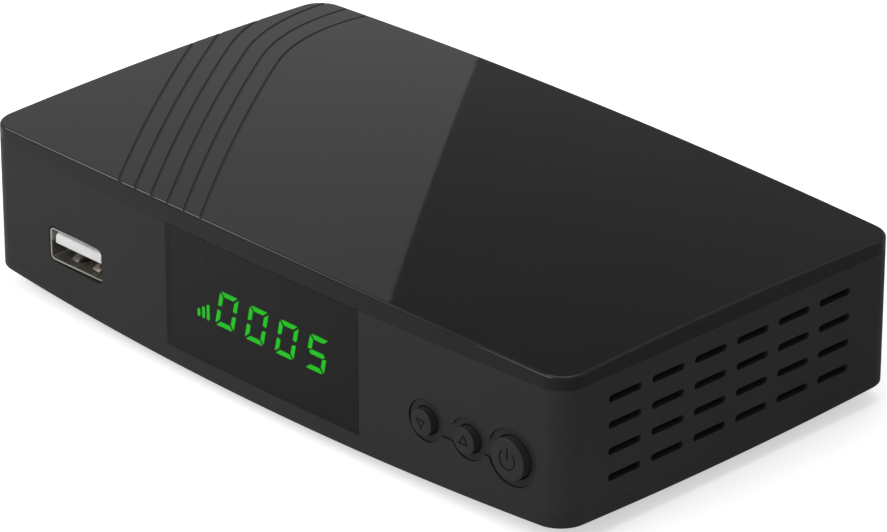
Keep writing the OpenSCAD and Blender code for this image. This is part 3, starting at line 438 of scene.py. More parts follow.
class Form:
    """A mesh being shaped, in millimetres."""

    # Distance under which corners are welded after a cut, and the most that a side looks along Y.
    weld = 2e-4
    side_share = 0.5

    def __init__(self) -> None:
        """Starts an empty form."""
        self.bm = bmesh.new()

    @classmethod
    def sheet(cls, wide: float, high: float, rounding: float = 0.0, steps: int = 6,
              columns: int = 1) -> "Form":
        """A flat face about the origin with rounded corners.

        Args:
            wide: Size along X.
            high: Size along Y.
            rounding: Radius of the corners.
            steps: Segments of a corner.
            columns: Faces side by side along X.

        Returns:
            The flat form.
        """
        form = cls()
        corners = bmesh.ops.create_grid(form.bm, x_segments=columns, y_segments=1, size=0.5)["verts"]
        span = 2 * max(vert.co.x for vert in corners)
        bmesh.ops.scale(form.bm, vec=(wide / span, high / span, 1.0), verts=corners)
        if rounding > 0:
            form.round_corners(corners, rounding, steps)
        return form

    @classmethod
    def disc(cls, radius: float, steps: int = 48) -> "Form":
        """A flat round face about the origin.

        Args:
            radius: Its radius.
            steps: Segments of its outline.

        Returns:
            The flat form.
        """
        form = cls()
        bmesh.ops.create_circle(form.bm, cap_ends=True, segments=steps, radius=radius)
        return form

    @classmethod
    def capsule(cls, long: float, high: float, steps: int = 16) -> "Form":
        """A flat face with round ends.

        Args:
            long: Full length along X.
            high: Full height along Y.
            steps: Segments of the two ends together.

        Returns:
            The flat form.
        """
        form = cls.disc(high / 2, steps).rotate(Matrix.Rotation(math.pi / steps, 3, "Z"))
        for end in (-1, 1):
            half = [vert for vert in form.bm.verts if vert.co.x * end > 0]
            bmesh.ops.translate(form.bm, vec=(end * (long - high) / 2, 0, 0), verts=half)
        return form

    @classmethod
    def post(cls, radius: float, x: float, y: float, ends: Iterable[float]) -> "Form":
        """An upright round post.

        Args:
            radius: Radius of the post.
            x: X of its axis.
            y: Y of its axis.
            ends: Heights of its two ends.

        Returns:
            The closed form.
        """
        low, high = sorted(ends)
        return cls.disc(radius).move((x, y, low)).pull((0.0, 0.0, high - low))

    @classmethod
    def block(cls, low: Point, high: Point) -> "Form":
        """A block between two corners.

        Args:
            low: Its lowest corner.
            high: Its highest corner.

        Returns:
            The closed form.
        """
        form = cls()
        corners = bmesh.ops.create_cube(form.bm, size=1.0)["verts"]
        bmesh.ops.scale(form.bm, vec=Vector(high) - Vector(low), verts=corners)
        return form.move((Vector(high) + Vector(low)) / 2)

    @classmethod
    def lathe(cls, profile: Sequence[Pair], steps: int = 64) -> "Form":
        """A turned form about the Y axis.

        Args:
            profile: Radius and Y of each corner, from the axis back to the axis.
            steps: Steps of the full turn.

        Returns:
            The closed form.
        """
        form = cls()
        verts = [form.bm.verts.new((radius, along, 0.0)) for radius, along in profile]
        edges = [form.bm.edges.new(pair) for pair in zip(verts, verts[1:])]
        form.spin([*verts, *edges], (0, 0, 0), (0, 1, 0), math.tau, steps)
        return form.merge().outward()

    @classmethod
    def gather(cls, forms: Iterable["Form"]) -> "Form":
        """Puts several forms into one.

        Args:
            forms: The forms, which are used up.

        Returns:
            The whole form.
        """
        whole = cls()
        for form in forms:
            whole.take(form)
        return whole

    def take(self, other: "Form") -> None:
        """Adds the faces of another form.

        Args:
            other: The other form, which is used up.
        """
        mesh = bpy.data.meshes.new("passing")
        other.bm.to_mesh(mesh)
        other.bm.free()
        self.bm.from_mesh(mesh)
        bpy.data.meshes.remove(mesh)

    def rotate(self, matrix: Matrix, centre: Sequence[float] = (0, 0, 0)) -> "Form":
        """Turns the whole form about a centre."""
        bmesh.ops.rotate(self.bm, cent=Vector(centre), matrix=matrix, verts=self.bm.verts[:])
        return self

    def turn(self, facing: Facing) -> "Form":
        """Turns the flat drawing to a facing."""
        return self.rotate(facing.matrix)

    def move(self, way: Sequence[float]) -> "Form":
        """Moves the whole form."""
        bmesh.ops.translate(self.bm, vec=Vector(way), verts=self.bm.verts[:])
        return self

    def merge(self, distance: float = TOUCH) -> "Form":
        """Merges corners that lie closer than a distance."""
        bmesh.ops.remove_doubles(self.bm, verts=self.bm.verts[:], dist=distance)
        return self

    def outward(self) -> "Form":
        """Points all faces outwards."""
        bmesh.ops.recalc_face_normals(self.bm, faces=self.bm.faces[:])
        return self

    def pull(self, way: Sequence[float]) -> "Form":
        """Extrudes every face, which closes the form.

        Args:
            way: Way that the faces go.

        Returns:
            This form.
        """
        made = bmesh.ops.extrude_face_region(self.bm, geom=self.bm.faces[:])["geom"]
        moved = [item for item in made if isinstance(item, bmesh.types.BMVert)]
        bmesh.ops.translate(self.bm, vec=Vector(way), verts=moved)
        return self.outward()

    def spin(self, section: Parts, centre: Sequence[float], axis: Point, angle: float,
             steps: int) -> Parts:
        """Sweeps a section about an axis.

        Args:
            section: Corners, edges or faces of the section.
            centre: A point of the axis.
            axis: Direction of the axis.
            angle: Angle of the sweep in radians.
            steps: Steps of the sweep.

        Returns:
            The last section.
        """
        swept = bmesh.ops.spin(self.bm, geom=section, cent=Vector(centre), axis=axis, dvec=(0, 0, 0),
                               angle=angle, steps=steps, use_merge=angle >= math.tau, use_duplicate=False)
        return swept["geom_last"]

    def inset(self, thickness: float) -> tuple[Faces, Faces]:
        """Draws a border inside the flat face.

        Args:
            thickness: Thickness of the border.

        Returns:
            The faces inside it and the faces of the border.
        """
        inner = self.bm.faces[:]
        border = bmesh.ops.inset_region(self.bm, faces=inner, thickness=thickness, use_boundary=True,
                                        use_even_offset=True)["faces"]
        return inner, border

    def ring(self, thickness: float) -> "Form":
        """Leaves only a border of the flat face, of a thickness."""
        bmesh.ops.delete(self.bm, geom=self.inset(thickness)[0], context="FACES")
        return self

    def shrink(self, thickness: float) -> "Form":
        """Leaves only the inside of the flat face.

        Args:
            thickness: Thickness of the border that goes.

        Returns:
            This form.
        """
        bmesh.ops.delete(self.bm, geom=self.inset(thickness)[1], context="FACES")
        loose = [vert for vert in self.bm.verts if not vert.link_faces]
        bmesh.ops.delete(self.bm, geom=loose, context="VERTS")
        return self

    def shift_each(self, rule: Callable[[Vector], Vector]) -> "Form":
        """Moves each corner by a rule.

        Args:
            rule: Gives the new place for an old place.

        Returns:
            This form.
        """
        for vert in self.bm.verts:
            vert.co = rule(vert.co)
        return self

    def round_corners(self, corners: Sequence[bmesh.types.BMVert], width: float, segments: int) -> None:
        """Rounds some corners of a flat face.

        Args:
            corners: The corners to round.
            width: Width of the rounding.
            segments: Steps of the rounding.
        """
        bmesh.ops.bevel(self.bm, geom=list(corners), offset=width, offset_type="OFFSET", segments=segments,
                        profile=0.5, affect="VERTICES", material=-1)

    def bevel(self, edges: Sequence[bmesh.types.BMEdge], width: float, segments: int) -> "Form":
        """Rounds some edges.

        Args:
            edges: The edges to round.
            width: Width of the rounding.
            segments: Steps of the rounding.

        Returns:
            This form.
        """
        bmesh.ops.bevel(self.bm, geom=list(edges), offset=width, offset_type="OFFSET", segments=segments,
                        profile=0.5, affect="EDGES", material=-1)
        return self

    def soften(self, width: float, segments: int = 2, below: float = math.inf) -> "Form":
        """Rounds every sharp edge.

        Args:
            width: Width of the rounding.
            segments: Steps of the rounding.
            below: Height above which edges stay as they are.

        Returns:
            This form.
        """
        sharp = [edge for edge in self.bm.edges
                 if edge.is_manifold and edge.calc_face_angle(0.0) > SHARP_EDGE
                 and max(vert.co.z for vert in edge.verts) < below]
        return self.bevel(sharp, width, segments)

    def mark_sides(self) -> None:
        """Gives the second material to the faces that look neither forwards nor backwards."""
        for face in self.bm.faces:
            face.material_index = int(abs(face.normal.y) < self.side_share)

    def temporary(self, name: str) -> bpy.types.Object:
        """An object of this form for one operation, with room for two materials.

        Args:
            name: Name of the object.

        Returns:
            The object.
        """
        mesh = bpy.data.meshes.new(name)
        self.bm.to_mesh(mesh)
        for _ in range(2):
            mesh.materials.append(None)
        body = bpy.data.objects.new(name, mesh)
        bpy.context.scene.collection.objects.link(body)
        return body

    def carve(self, tool: "Form", action: Carve = Carve.CUT) -> "Form":
        """Cuts another form out of this one, or joins it on.

        Args:
            tool: The other form, which is used up.
            action: Cut or join.

        Returns:
            This form.
        """
        body = self.temporary("carved")
        cutter = tool.temporary("carver")
        modifier = body.modifiers.new("carve", "BOOLEAN")
        modifier.operation = action.value
        modifier.solver = "EXACT"
        modifier.object = cutter
        carved = bpy.data.meshes.new_from_object(body.evaluated_get(bpy.context.evaluated_depsgraph_get()))
        self.bm.clear()
        self.bm.from_mesh(carved)
        tool.bm.free()
        # An object goes with its mesh.
        for mesh in (body.data, cutter.data, carved):
            bpy.data.meshes.remove(mesh)
        self.merge(self.weld)
        bmesh.ops.dissolve_degenerate(self.bm, edges=self.bm.edges[:], dist=self.weld)
        return self

    def piece(self, name: str, sharp: float = 35.0) -> bpy.types.Object:
        """Makes the form a finished object in metres.

        Args:
            name: Name of the piece.
            sharp: Angle from which an edge shades as a crease, in degrees.

        Returns:
            The object, at the origin, with its place in its mesh.
        """
        bmesh.ops.scale(self.bm, vec=(MM, MM, MM), verts=self.bm.verts[:])
        mesh = bpy.data.meshes.new(name)
        self.bm.to_mesh(mesh)
        self.bm.free()
        mesh.polygons.foreach_set("use_smooth", [True] * len(mesh.polygons))
        mesh.set_sharp_from_angle(angle=math.radians(sharp))
        body = bpy.data.objects.new(name, mesh)
        bpy.context.scene.collection.objects.link(body)
        return body


@dataclass(frozen=True)
class CasePlan:
    """Plan and heights that the shells share, X and radius of each button, X and Z of the USB socket."""

    width: float = 131.2
    front_corner: float = -40.1
    back: float = 33.4
    front_bow: float = 2.3
    corner_round: float = 4.3
    base: float = 1.0
    low_seam: float = 5.0
    high_seam: float = 26.3
    crown: float = 30.79
    crown_across: float = 1370.0
    crown_along: float = 845.0
    wall: float = 2.0
    buttons: tuple[Pair, ...] = ((38.0, 2.2), (46.8, 2.2), (55.6, 3.45))
    button_z: float = 12.65
    usb: Pair = (-43.4, 12.3)
    corner_steps: int = 14
    front_steps: int = 72
    side_steps: int = 24
    slab_steps: int = 40

    @property
    def middle(self) -> float:
        """Middle of the sides along Y."""
        return (self.front_corner + self.back) / 2

    @property
    def front(self) -> float:
        """Y of the middle of the bowed front."""
        return self.front_corner - self.front_bow

    def sag(self, x: float, y: float) -> float:
        """How far the crown has dropped at a place."""
        return x * x / (2 * self.crown_across) + (y - self.middle) ** 2 / (2 * self.crown_along)

    def front_y(self, x: float, inset: float = 0.0) -> float:
        """Y of the bowed front, or of a line behind it.

        Args:
            x: Place along the front.
            inset: How far the line lies behind the front.

        Returns:
            The Y.
        """
        bow_r = ((self.width / 2) ** 2 + self.front_bow ** 2) / (2 * self.front_bow)
        return self.front + bow_r - math.sqrt((bow_r - inset) ** 2 - x * x)

    def outline(self, height: float, side_steps: int = 1) -> Form:
        """The plan of the case as one face.

        Args:
            height: Height of the face.
            side_steps: Edges along each straight side and the back, so that a rim can follow a crown.

        Returns:
            The form with the face.
        """
        form = Form.sheet(self.width, self.back - self.front_corner, self.corner_round, self.corner_steps)
        form.move((0.0, self.middle, height))
        front = [edge for edge in form.bm.edges
                 if all(abs(vert.co.y - self.front_corner) < TOUCH for vert in edge.verts)
                 and edge.calc_length() > self.corner_round]
        bmesh.ops.subdivide_edges(form.bm, edges=front, cuts=self.front_steps - 1)
        if side_steps > 1:
            straight = [edge for edge in form.bm.edges if edge.calc_length() > self.corner_round]
            bmesh.ops.subdivide_edges(form.bm, edges=straight, cuts=side_steps - 1)
        reach = self.front_corner + self.corner_round + TOUCH

        def bowed(place: Vector) -> Vector:
            """Moves a corner of the front onto the bow."""
            if place.y > reach:
                return place
            return place + Vector((0.0, self.front_y(place.x) - self.front_corner, 0.0))

        return form.shift_each(bowed)

    def rim(self, insets: Pair, ends: Iterable[float]) -> Form:
        """A ring along the plan.

        Args:
            insets: Insets of its outside and its inside.
            ends: Heights of its two ends.

        Returns:
            The closed form.
        """
        low, high = sorted(ends)
        form = self.outline(low)
        if insets[0] > 0:
            form.shrink(insets[0])
        return form.ring(insets[1] - insets[0]).pull((0.0, 0.0, high - low))

    def bowed_slab(self, sides: Pair, inset: float, deep: float, ends: Pair) -> Form:
        """A slab that follows the bow of the front.

        Args:
            sides: X of its left and its right end.
            inset: Inset of its front face behind the front.
            deep: Its depth.
            ends: Heights of its lower and its upper end.

        Returns:
            The closed form.
        """
        form = Form.sheet(sides[1] - sides[0], ends[1] - ends[0], columns=self.slab_steps)
        form.turn(Facing.FRONT).move((sum(sides) / 2, 0.0, sum(ends) / 2))
        form.shift_each(lambda place: Vector((place.x, self.front_y(place.x, inset), place.z)))
        return form.pull((0.0, deep, 0.0))


PLAN = CasePlan()


class SubAssembly:
    """Base of the sub-assemblies: finishes a form as a piece of the model."""

    body = "case"

    def finish(self, form: Form, name: str, node: str, *slots: Slot) -> None:
        """Makes a form a dressed piece that rides its body.

        Args:
            form: The finished form.
            name: Name of the piece.
            node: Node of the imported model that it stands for.
            slots: Material slots that it wears, its main one first.
        """
        piece = form.piece(name)
        for slot in slots:
            piece.data.materials.append(Wardrobe.material(slot))
        piece.modifiers.new("even_shading", "WEIGHTED_NORMAL").keep_sharp = True
        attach(piece, self.body)
        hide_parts(node)
        log.info("%s: %d faces, %s", name, len(piece.data.polygons), slots[0].value)


@dataclass
class Cover(SubAssembly):
    """What the lid and the base share: a hollow shell with a swollen face, a lip and screw posts."""

    seam: float
    face: float
    flat_rim: float
    rim_round: float
    rim_steps: int
    columns: int
    rows: int
    row_start: float
    row_pitch: float
    # Radius of each post and the height of its free end.
    posts: tuple[Pair, ...]
    plan: CasePlan = PLAN
    # Insets of the outside and the inside of the lip.
    lip: Pair = (2.15, 3.15)
    lip_reach: float = 2.0
    lip_root: float = 0.3
    screw_x: float = 57.6
    screw_ys: Pair = (-25.5, 24.4)

    @property
    def way(self) -> float:
        """One where the face looks up, minus one where it looks down."""
        return math.copysign(1.0, self.face - self.seam)

    def swollen(self, place: Vector) -> Vector:
        """Moves a corner of the face back by the sag of its crown.

        Args:
            place: Place of the corner.

        Returns:
            Its new place.
        """
        if self.way * (place.z - self.seam) < self.flat_rim:
            return place
        return place - Vector((0.0, 0.0, self.way * self.plan.sag(place.x, place.y)))

    def divide(self, form: Form) -> None:
        """Divides the flat face by a grid, so that it can follow the crown.

        Args:
            form: The form with the face.
        """
        wide = self.plan.width
        cuts = [((wide * (i / self.columns - 0.5), 0, 0), (1, 0, 0)) for i in range(1, self.columns)]
        cuts += [((0, self.row_start + i * self.row_pitch, 0), (0, 1, 0)) for i in range(self.rows)]
        for place, normal in cuts:
            flat = [part for part in form.bm.faces
                    if all(abs(vert.co.z - self.face) < TOUCH for vert in part.verts)]
            edges = dict.fromkeys(edge for part in flat for edge in part.edges)
            verts = dict.fromkeys(vert for part in flat for vert in part.verts)
            bmesh.ops.bisect_plane(form.bm, geom=[*verts, *edges, *flat], plane_co=place, plane_no=normal)

    def shell(self) -> Form:
        """The shell with its rounded rim and its cavity.

        Returns:
            The closed form.
        """
        plan = self.plan
        form = plan.outline(self.seam, plan.side_steps)
        form.pull((0.0, 0.0, self.face - self.way * self.rim_round - self.seam))
        front = max(form.bm.faces, key=lambda part: self.way * part.calc_center_median().z)
        for step in range(self.rim_steps):
            first = math.pi / 2 * step / self.rim_steps
            second = math.pi / 2 * (step + 1) / self.rim_steps
            bmesh.ops.inset_region(form.bm, faces=[front], use_boundary=True, use_even_offset=True,
                                   thickness=self.rim_round * (math.cos(first) - math.cos(second)),
                                   depth=self.rim_round * (math.sin(second) - math.sin(first)))
        cavity = plan.outline(self.face, plan.side_steps).shrink(plan.wall)
        cavity.pull((0.0, 0.0, self.seam - self.face))
        for part in (form, cavity):
            self.divide(part)
            part.shift_each(self.swollen).outward()
        return form.carve(cavity.move((0.0, 0.0, -self.way * plan.wall)))

    def roots(self) -> list[Form]:
        """The lip inside the seam with its thicker root, and the screw posts.

        Returns:
            The closed forms.
        """
        plan = self.plan
        half = plan.wall / 2
        root = plan.rim((half, self.lip[1]), (self.seam, self.face - self.way * half))
        ends = (self.seam - self.way * self.lip_reach, self.seam + self.way * self.lip_root)
        lip = plan.rim(self.lip, ends)
        forms = [root.shift_each(self.swollen), lip]
        for side in (-1, 1):
            for y in self.screw_ys:
                inside = self.face - self.way * (plan.sag(self.screw_x, y) + half)
                for radius, end in self.posts:
                    forms.append(Form.post(radius, side * self.screw_x, y, (end, inside)))
        return forms

    def whole(self) -> Form:
        """The shell with its lip and posts.

        Returns:
            The closed form.
        """
        form = self.shell()
        for root in self.roots():
            form.carve(root, Carve.JOIN)
        return form


@dataclass
class TopCover(Cover):
    """Glossy crowned lid with six satin grooves."""

    seam: float = PLAN.high_seam
    face: float = PLAN.crown
    flat_rim: float = 1.0
    rim_round: float = 0.45
    rim_steps: int = 6
    columns: int = 33
    rows: int = 19
    row_start: float = -42.1
    row_pitch: float = 4.0
    posts: tuple[Pair, ...] = ((3.0, 14.0),)
    seam_round: float = 0.05
    seam_room: float = 0.01
    grooves: int = 6
    groove_pitch: float = 3.9
    groove_half: float = 0.27
    groove_floor: float = 0.1
    groove_depth: float = 0.2
    groove_above: float = 1.2
    bend_start: Pair = (-48.0, 7.15)
    bend_r: float = 37.0
    bend_step: float = 3.75
    bend_from: float = 158.0
    bend_parts: int = 44
    long_r: float = 780.0
    long_reach: float = 68.0
    long_parts: int = 24
    lean: float = 34.0

    def section(self) -> list[Pair]:
        """Corners of the cutter of a groove, across it and up from the crown.

        Returns:
            The corners in order.
        """
        slope = (self.groove_half - self.groove_floor) / self.groove_depth
        wide = self.groove_half + slope * self.groove_above
        return [(-self.groove_floor, -self.groove_depth), (self.groove_floor, -self.groove_depth),
                (wide, self.groove_above), (-wide, self.groove_above)]

    def groove(self, index: int) -> Form:
        """The cutter of one groove: a bend that runs on into a long shallow arc.

        Args:
            index: Count of the groove, from the right.

        Returns:
            The closed form, just under the crown.
        """
        plan = self.plan
        bend_r = self.bend_r + index * self.bend_step
        lean = math.radians(self.lean)
        start = math.radians(self.bend_from)
        way = Vector((math.cos(lean), math.sin(lean), 0.0))
        out = Vector((math.cos(start), math.sin(start), 0.0))
        begin = Vector((self.bend_start[0] - index * self.groove_pitch, self.bend_start[1], 0.0))
        centre = begin + way * bend_r
        form = Form()
        verts = [form.bm.verts.new(centre + out * (bend_r + side) + Vector((0.0, 0.0, up)))
                 for side, up in self.section()]
        face = form.bm.faces.new(verts)
        last = form.spin([face], centre, (0, 0, 1), math.pi + lean - start, self.bend_parts)
        form.spin(last, begin + way * self.long_r, (0, 0, 1), self.long_reach / self.long_r, self.long_parts)
        form.merge()
        form.shift_each(lambda place: place + Vector((0, 0, plan.crown - plan.sag(place.x, place.y))))
        for part in form.bm.faces:
            part.material_index = 1
        return form.outward()

    def build(self) -> None:
        """Builds the lid."""
        form = self.whole()
        form.carve(Form.gather(self.groove(index) for index in range(self.grooves)))
        form.soften(self.seam_round, below=self.seam + self.seam_room)
        self.finish(form, "lid_shell", "top_cover", Slot.CASE_GLOSS, Slot.CASE_SATIN)


@dataclass
class BottomCover(Cover):
    """Base with a belly, foot seats, sunk screws and air slots."""

    seam: float = PLAN.low_seam
    face: float = PLAN.base
    flat_rim: float = 0.5
    rim_round: float = 0.3
    rim_steps: int = 3
    columns: int = 16
    rows: int = 9
    row_start: float = -35.75
    row_pitch: float = 8.1
    posts: tuple[Pair, ...] = ((4.2, 7.0), (3.0, 14.0))
    seam_round: float = 0.06
    sink_r: float = 2.9
    sink_high: float = 5.5
    foot_x: float = 45.6
    foot_ys: Pair = (-27.1, 20.4)
    foot_r: float = 5.15
    foot_seat: float = 0.6
    slot_size: Pair = (1.6, 16.0)
    slot_round: float = 0.3
    slot_pitch: float = 4.0
    slots: int = 9
    slot_rows: float = 10.4
    cut_ends: Pair = (-1.0, 5.0)

    def cuts(self) -> Form:
        """Foot seats, screw sinks and air slots.

        Returns:
            The closed forms in one.
        """
        plan = self.plan
        low, high = self.cut_ends
        forms = []
        for side in (-1, 1):
            for y in self.foot_ys:
                seat = plan.base + plan.sag(self.foot_x, y) + self.foot_seat
                forms.append(Form.post(self.foot_r, side * self.foot_x, y, (low, seat)))
            for y in self.screw_ys:
                forms.append(Form.post(self.sink_r, side * self.screw_x, y, (low, self.sink_high)))
            for index in range(self.slots):
                slot = Form.sheet(*self.slot_size, self.slot_round, steps=2)
                x = (index - (self.slots - 1) / 2) * self.slot_pitch
                slot.move((x, plan.middle + side * self.slot_rows, low))
                forms.append(slot.pull((0.0, 0.0, high - low)))
        return Form.gather(forms)

    def build(self) -> None:
        """Builds the base."""
        form = self.whole().carve(self.cuts()).soften(self.seam_round)
        self.finish(form, "base_shell", "bottom_cover", Slot.CASE_SATIN)


@dataclass
class WallRing(SubAssembly):
    """Satin wall with air slots, window seat, sunk button panel whose walls carry painted shade, and socket
    openings.
    """

    plan: CasePlan = PLAN
    edge_round: float = 0.06
    clear: float = 2.0
    front_reach: float = 9.0
    rear_reach: float = -6.0
    vent_size: Pair = (7.0, 1.2)
    vent_columns: int = 6
    vent_pitch: float = 9.25
    vent_forward: float = 0.5
    vent_heights: tuple[float, ...] = (9.15, 13.55, 17.95, 22.35)
    vent_reach: float = 8.0
    window: Pair = (-20.3, 23.7)
    window_seat: float = 1.1
    seat_before: float = 3.0
    # X and Z of the middle of each opening, then its width and height or its radius.
    display: tuple[float, float, float, float] = (0.89, 15.02, 34.01, 9.9)
    infrared: Point = (-11.815, 22.17, 1.8)
    usb_size: Pair = (13.6, 6.2)
    usb_round: float = 1.15
    button_room: float = 0.16
    button_rings: tuple[float, ...] = (3.5, 3.5, 4.8)
    button_steps: int = 64
    neck: float = 3.0
    panel_reach: float = 8.0
    panel_step: float = 0.01
    panel_sides: Pair = (26.0, 64.6)
    pocket: float = 0.3
    rear_holes: tuple[Point, ...] = ((42.0, 15.75, 5.8), (24.0, 15.75, 5.8), (-24.0, 12.45, 3.3),
                                     (-44.0, 15.65, 4.3))
    picture_socket: tuple[float, float, float, float] = (-2.0, 12.25, 15.6, 6.2)
    picture_cut: float = 1.9

    @property
    def before(self) -> float:
        """Y from which a cutter goes into the front."""
        return self.plan.front - self.clear

    def through_front(self, drawing: Form, x: float, z: float) -> Form:
        """A drawing pushed through the front."""
        return drawing.turn(Facing.FRONT).move((x, self.before, z)).pull((0.0, self.front_reach, 0.0))

    def through_back(self, drawing: Form, x: float, z: float) -> Form:
        """A drawing pushed through the rear wall."""
        place = (x, self.plan.back + self.clear, z)
        return drawing.turn(Facing.FRONT).move(place).pull((0.0, self.rear_reach, 0.0))

    def vents(self) -> Form:
        """The slots of both sides.

        Returns:
            The closed forms in one.
        """
        forms = []
        start = self.plan.middle - self.vent_forward - (self.vent_columns - 1) / 2 * self.vent_pitch
        for side in (-1, 1):
            x = side * (self.plan.width / 2 + self.clear)
            for column in range(self.vent_columns):
                for z in self.vent_heights:
                    slot = Form.capsule(*self.vent_size).turn(Facing.SIDE)
                    slot.move((x, start + column * self.vent_pitch, z))
                    forms.append(slot.pull((-side * self.vent_reach, 0.0, 0.0)))
        return Form.gather(forms)

    def button_panel(self) -> Form:
        """The sunk panel around the buttons, with a floor that follows the bow and walls in a near-black
        finish: painted shade standing for the shadow at the step of the pocket.

        Returns:
            The closed form.
        """
        plan = self.plan
        start = self.before
        half = self.neck / 2
        form = Form.block((plan.buttons[0][0], start, plan.button_z - half),
                          (plan.buttons[-1][0], start + self.panel_reach, plan.button_z + half))
        for (x, _), radius in zip(plan.buttons, self.button_rings):
            round_part = Form.disc(radius, self.button_steps).turn(Facing.FRONT)
            round_part.move((x, start + self.panel_step, plan.button_z)).pull((0.0, self.panel_reach, 0.0))
            form.carve(round_part, Carve.JOIN)
        behind = plan.bowed_slab(self.panel_sides, self.pocket, 2 * self.panel_reach, (0.0, plan.crown))
        # The side walls of the pocket get the second, near-black material: painted shade at the step.
        form.carve(behind).mark_sides()
        return form

    def window_cuts(self) -> list[Form]:
        """The seat of the window and the openings behind it.

        Returns:
            The closed forms.
        """
        plan = self.plan
        x, z, wide, high = self.display
        lens_x, lens_z, lens_r = self.infrared
        seat = plan.bowed_slab(self.window, 0.0, self.window_seat + self.seat_before,
                               (plan.low_seam - self.clear, plan.high_seam + self.clear))
        return [seat.move((0.0, -self.seat_before, 0.0)), self.through_front(Form.sheet(wide, high), x, z),
                self.through_front(Form.disc(lens_r), lens_x, lens_z)]

    def socket_cuts(self) -> list[Form]:
        """The openings of the front and rear sockets and of the buttons.

        Returns:
            The closed forms.
        """
        plan = self.plan
        cuts = [self.through_front(Form.sheet(*self.usb_size, self.usb_round), *plan.usb)]
        for x, radius in plan.buttons:
            hole = Form.disc(radius + self.button_room, self.button_steps)
            cuts.append(self.through_front(hole, x, plan.button_z))
        for x, z, radius in self.rear_holes:
            cuts.append(self.through_back(Form.disc(radius), x, z))
        x, z, wide, high = self.picture_socket
        mouth = Form.sheet(wide, high)
        lower = [vert for vert in mouth.bm.verts if vert.co.y < 0]
        mouth.round_corners(lower, self.picture_cut, segments=1)
        return [*cuts, self.through_back(mouth, x, z)]

    def build(self) -> None:
        """Builds the wall."""
        plan = self.plan
        form = plan.rim((0.0, plan.wall), (plan.low_seam, plan.high_seam))
        for cut in (self.vents(), self.button_panel(), *self.window_cuts(), *self.socket_cuts()):
            form.carve(cut)
        form.soften(self.edge_round)
        # The second material, the dark display body, paints shade on the side walls of the button pocket.
        self.finish(form, "wall_shell", "wall_ring", Slot.CASE_SATIN, Slot.DISPLAY_BODY)


@dataclass
class DisplayWindow(SubAssembly):
    """Smoked window that follows the bow of the front, with edges painted like the case."""

    plan: CasePlan = PLAN
    sides: Pair = (-20.25, 23.65)
    thick: float = 1.0
    room: float = 0.05
    edge_round: float = 0.04

    def build(self) -> None:
        """Builds the window."""
        ends = (self.plan.low_seam + self.room, self.plan.high_seam - self.room)
        form = self.plan.bowed_slab(self.sides, 0.0, self.thick, ends).soften(self.edge_round)
        form.mark_sides()
        self.finish(form, "window_pane", "display_window", Slot.SMOKED_WINDOW, Slot.CASE_SATIN)


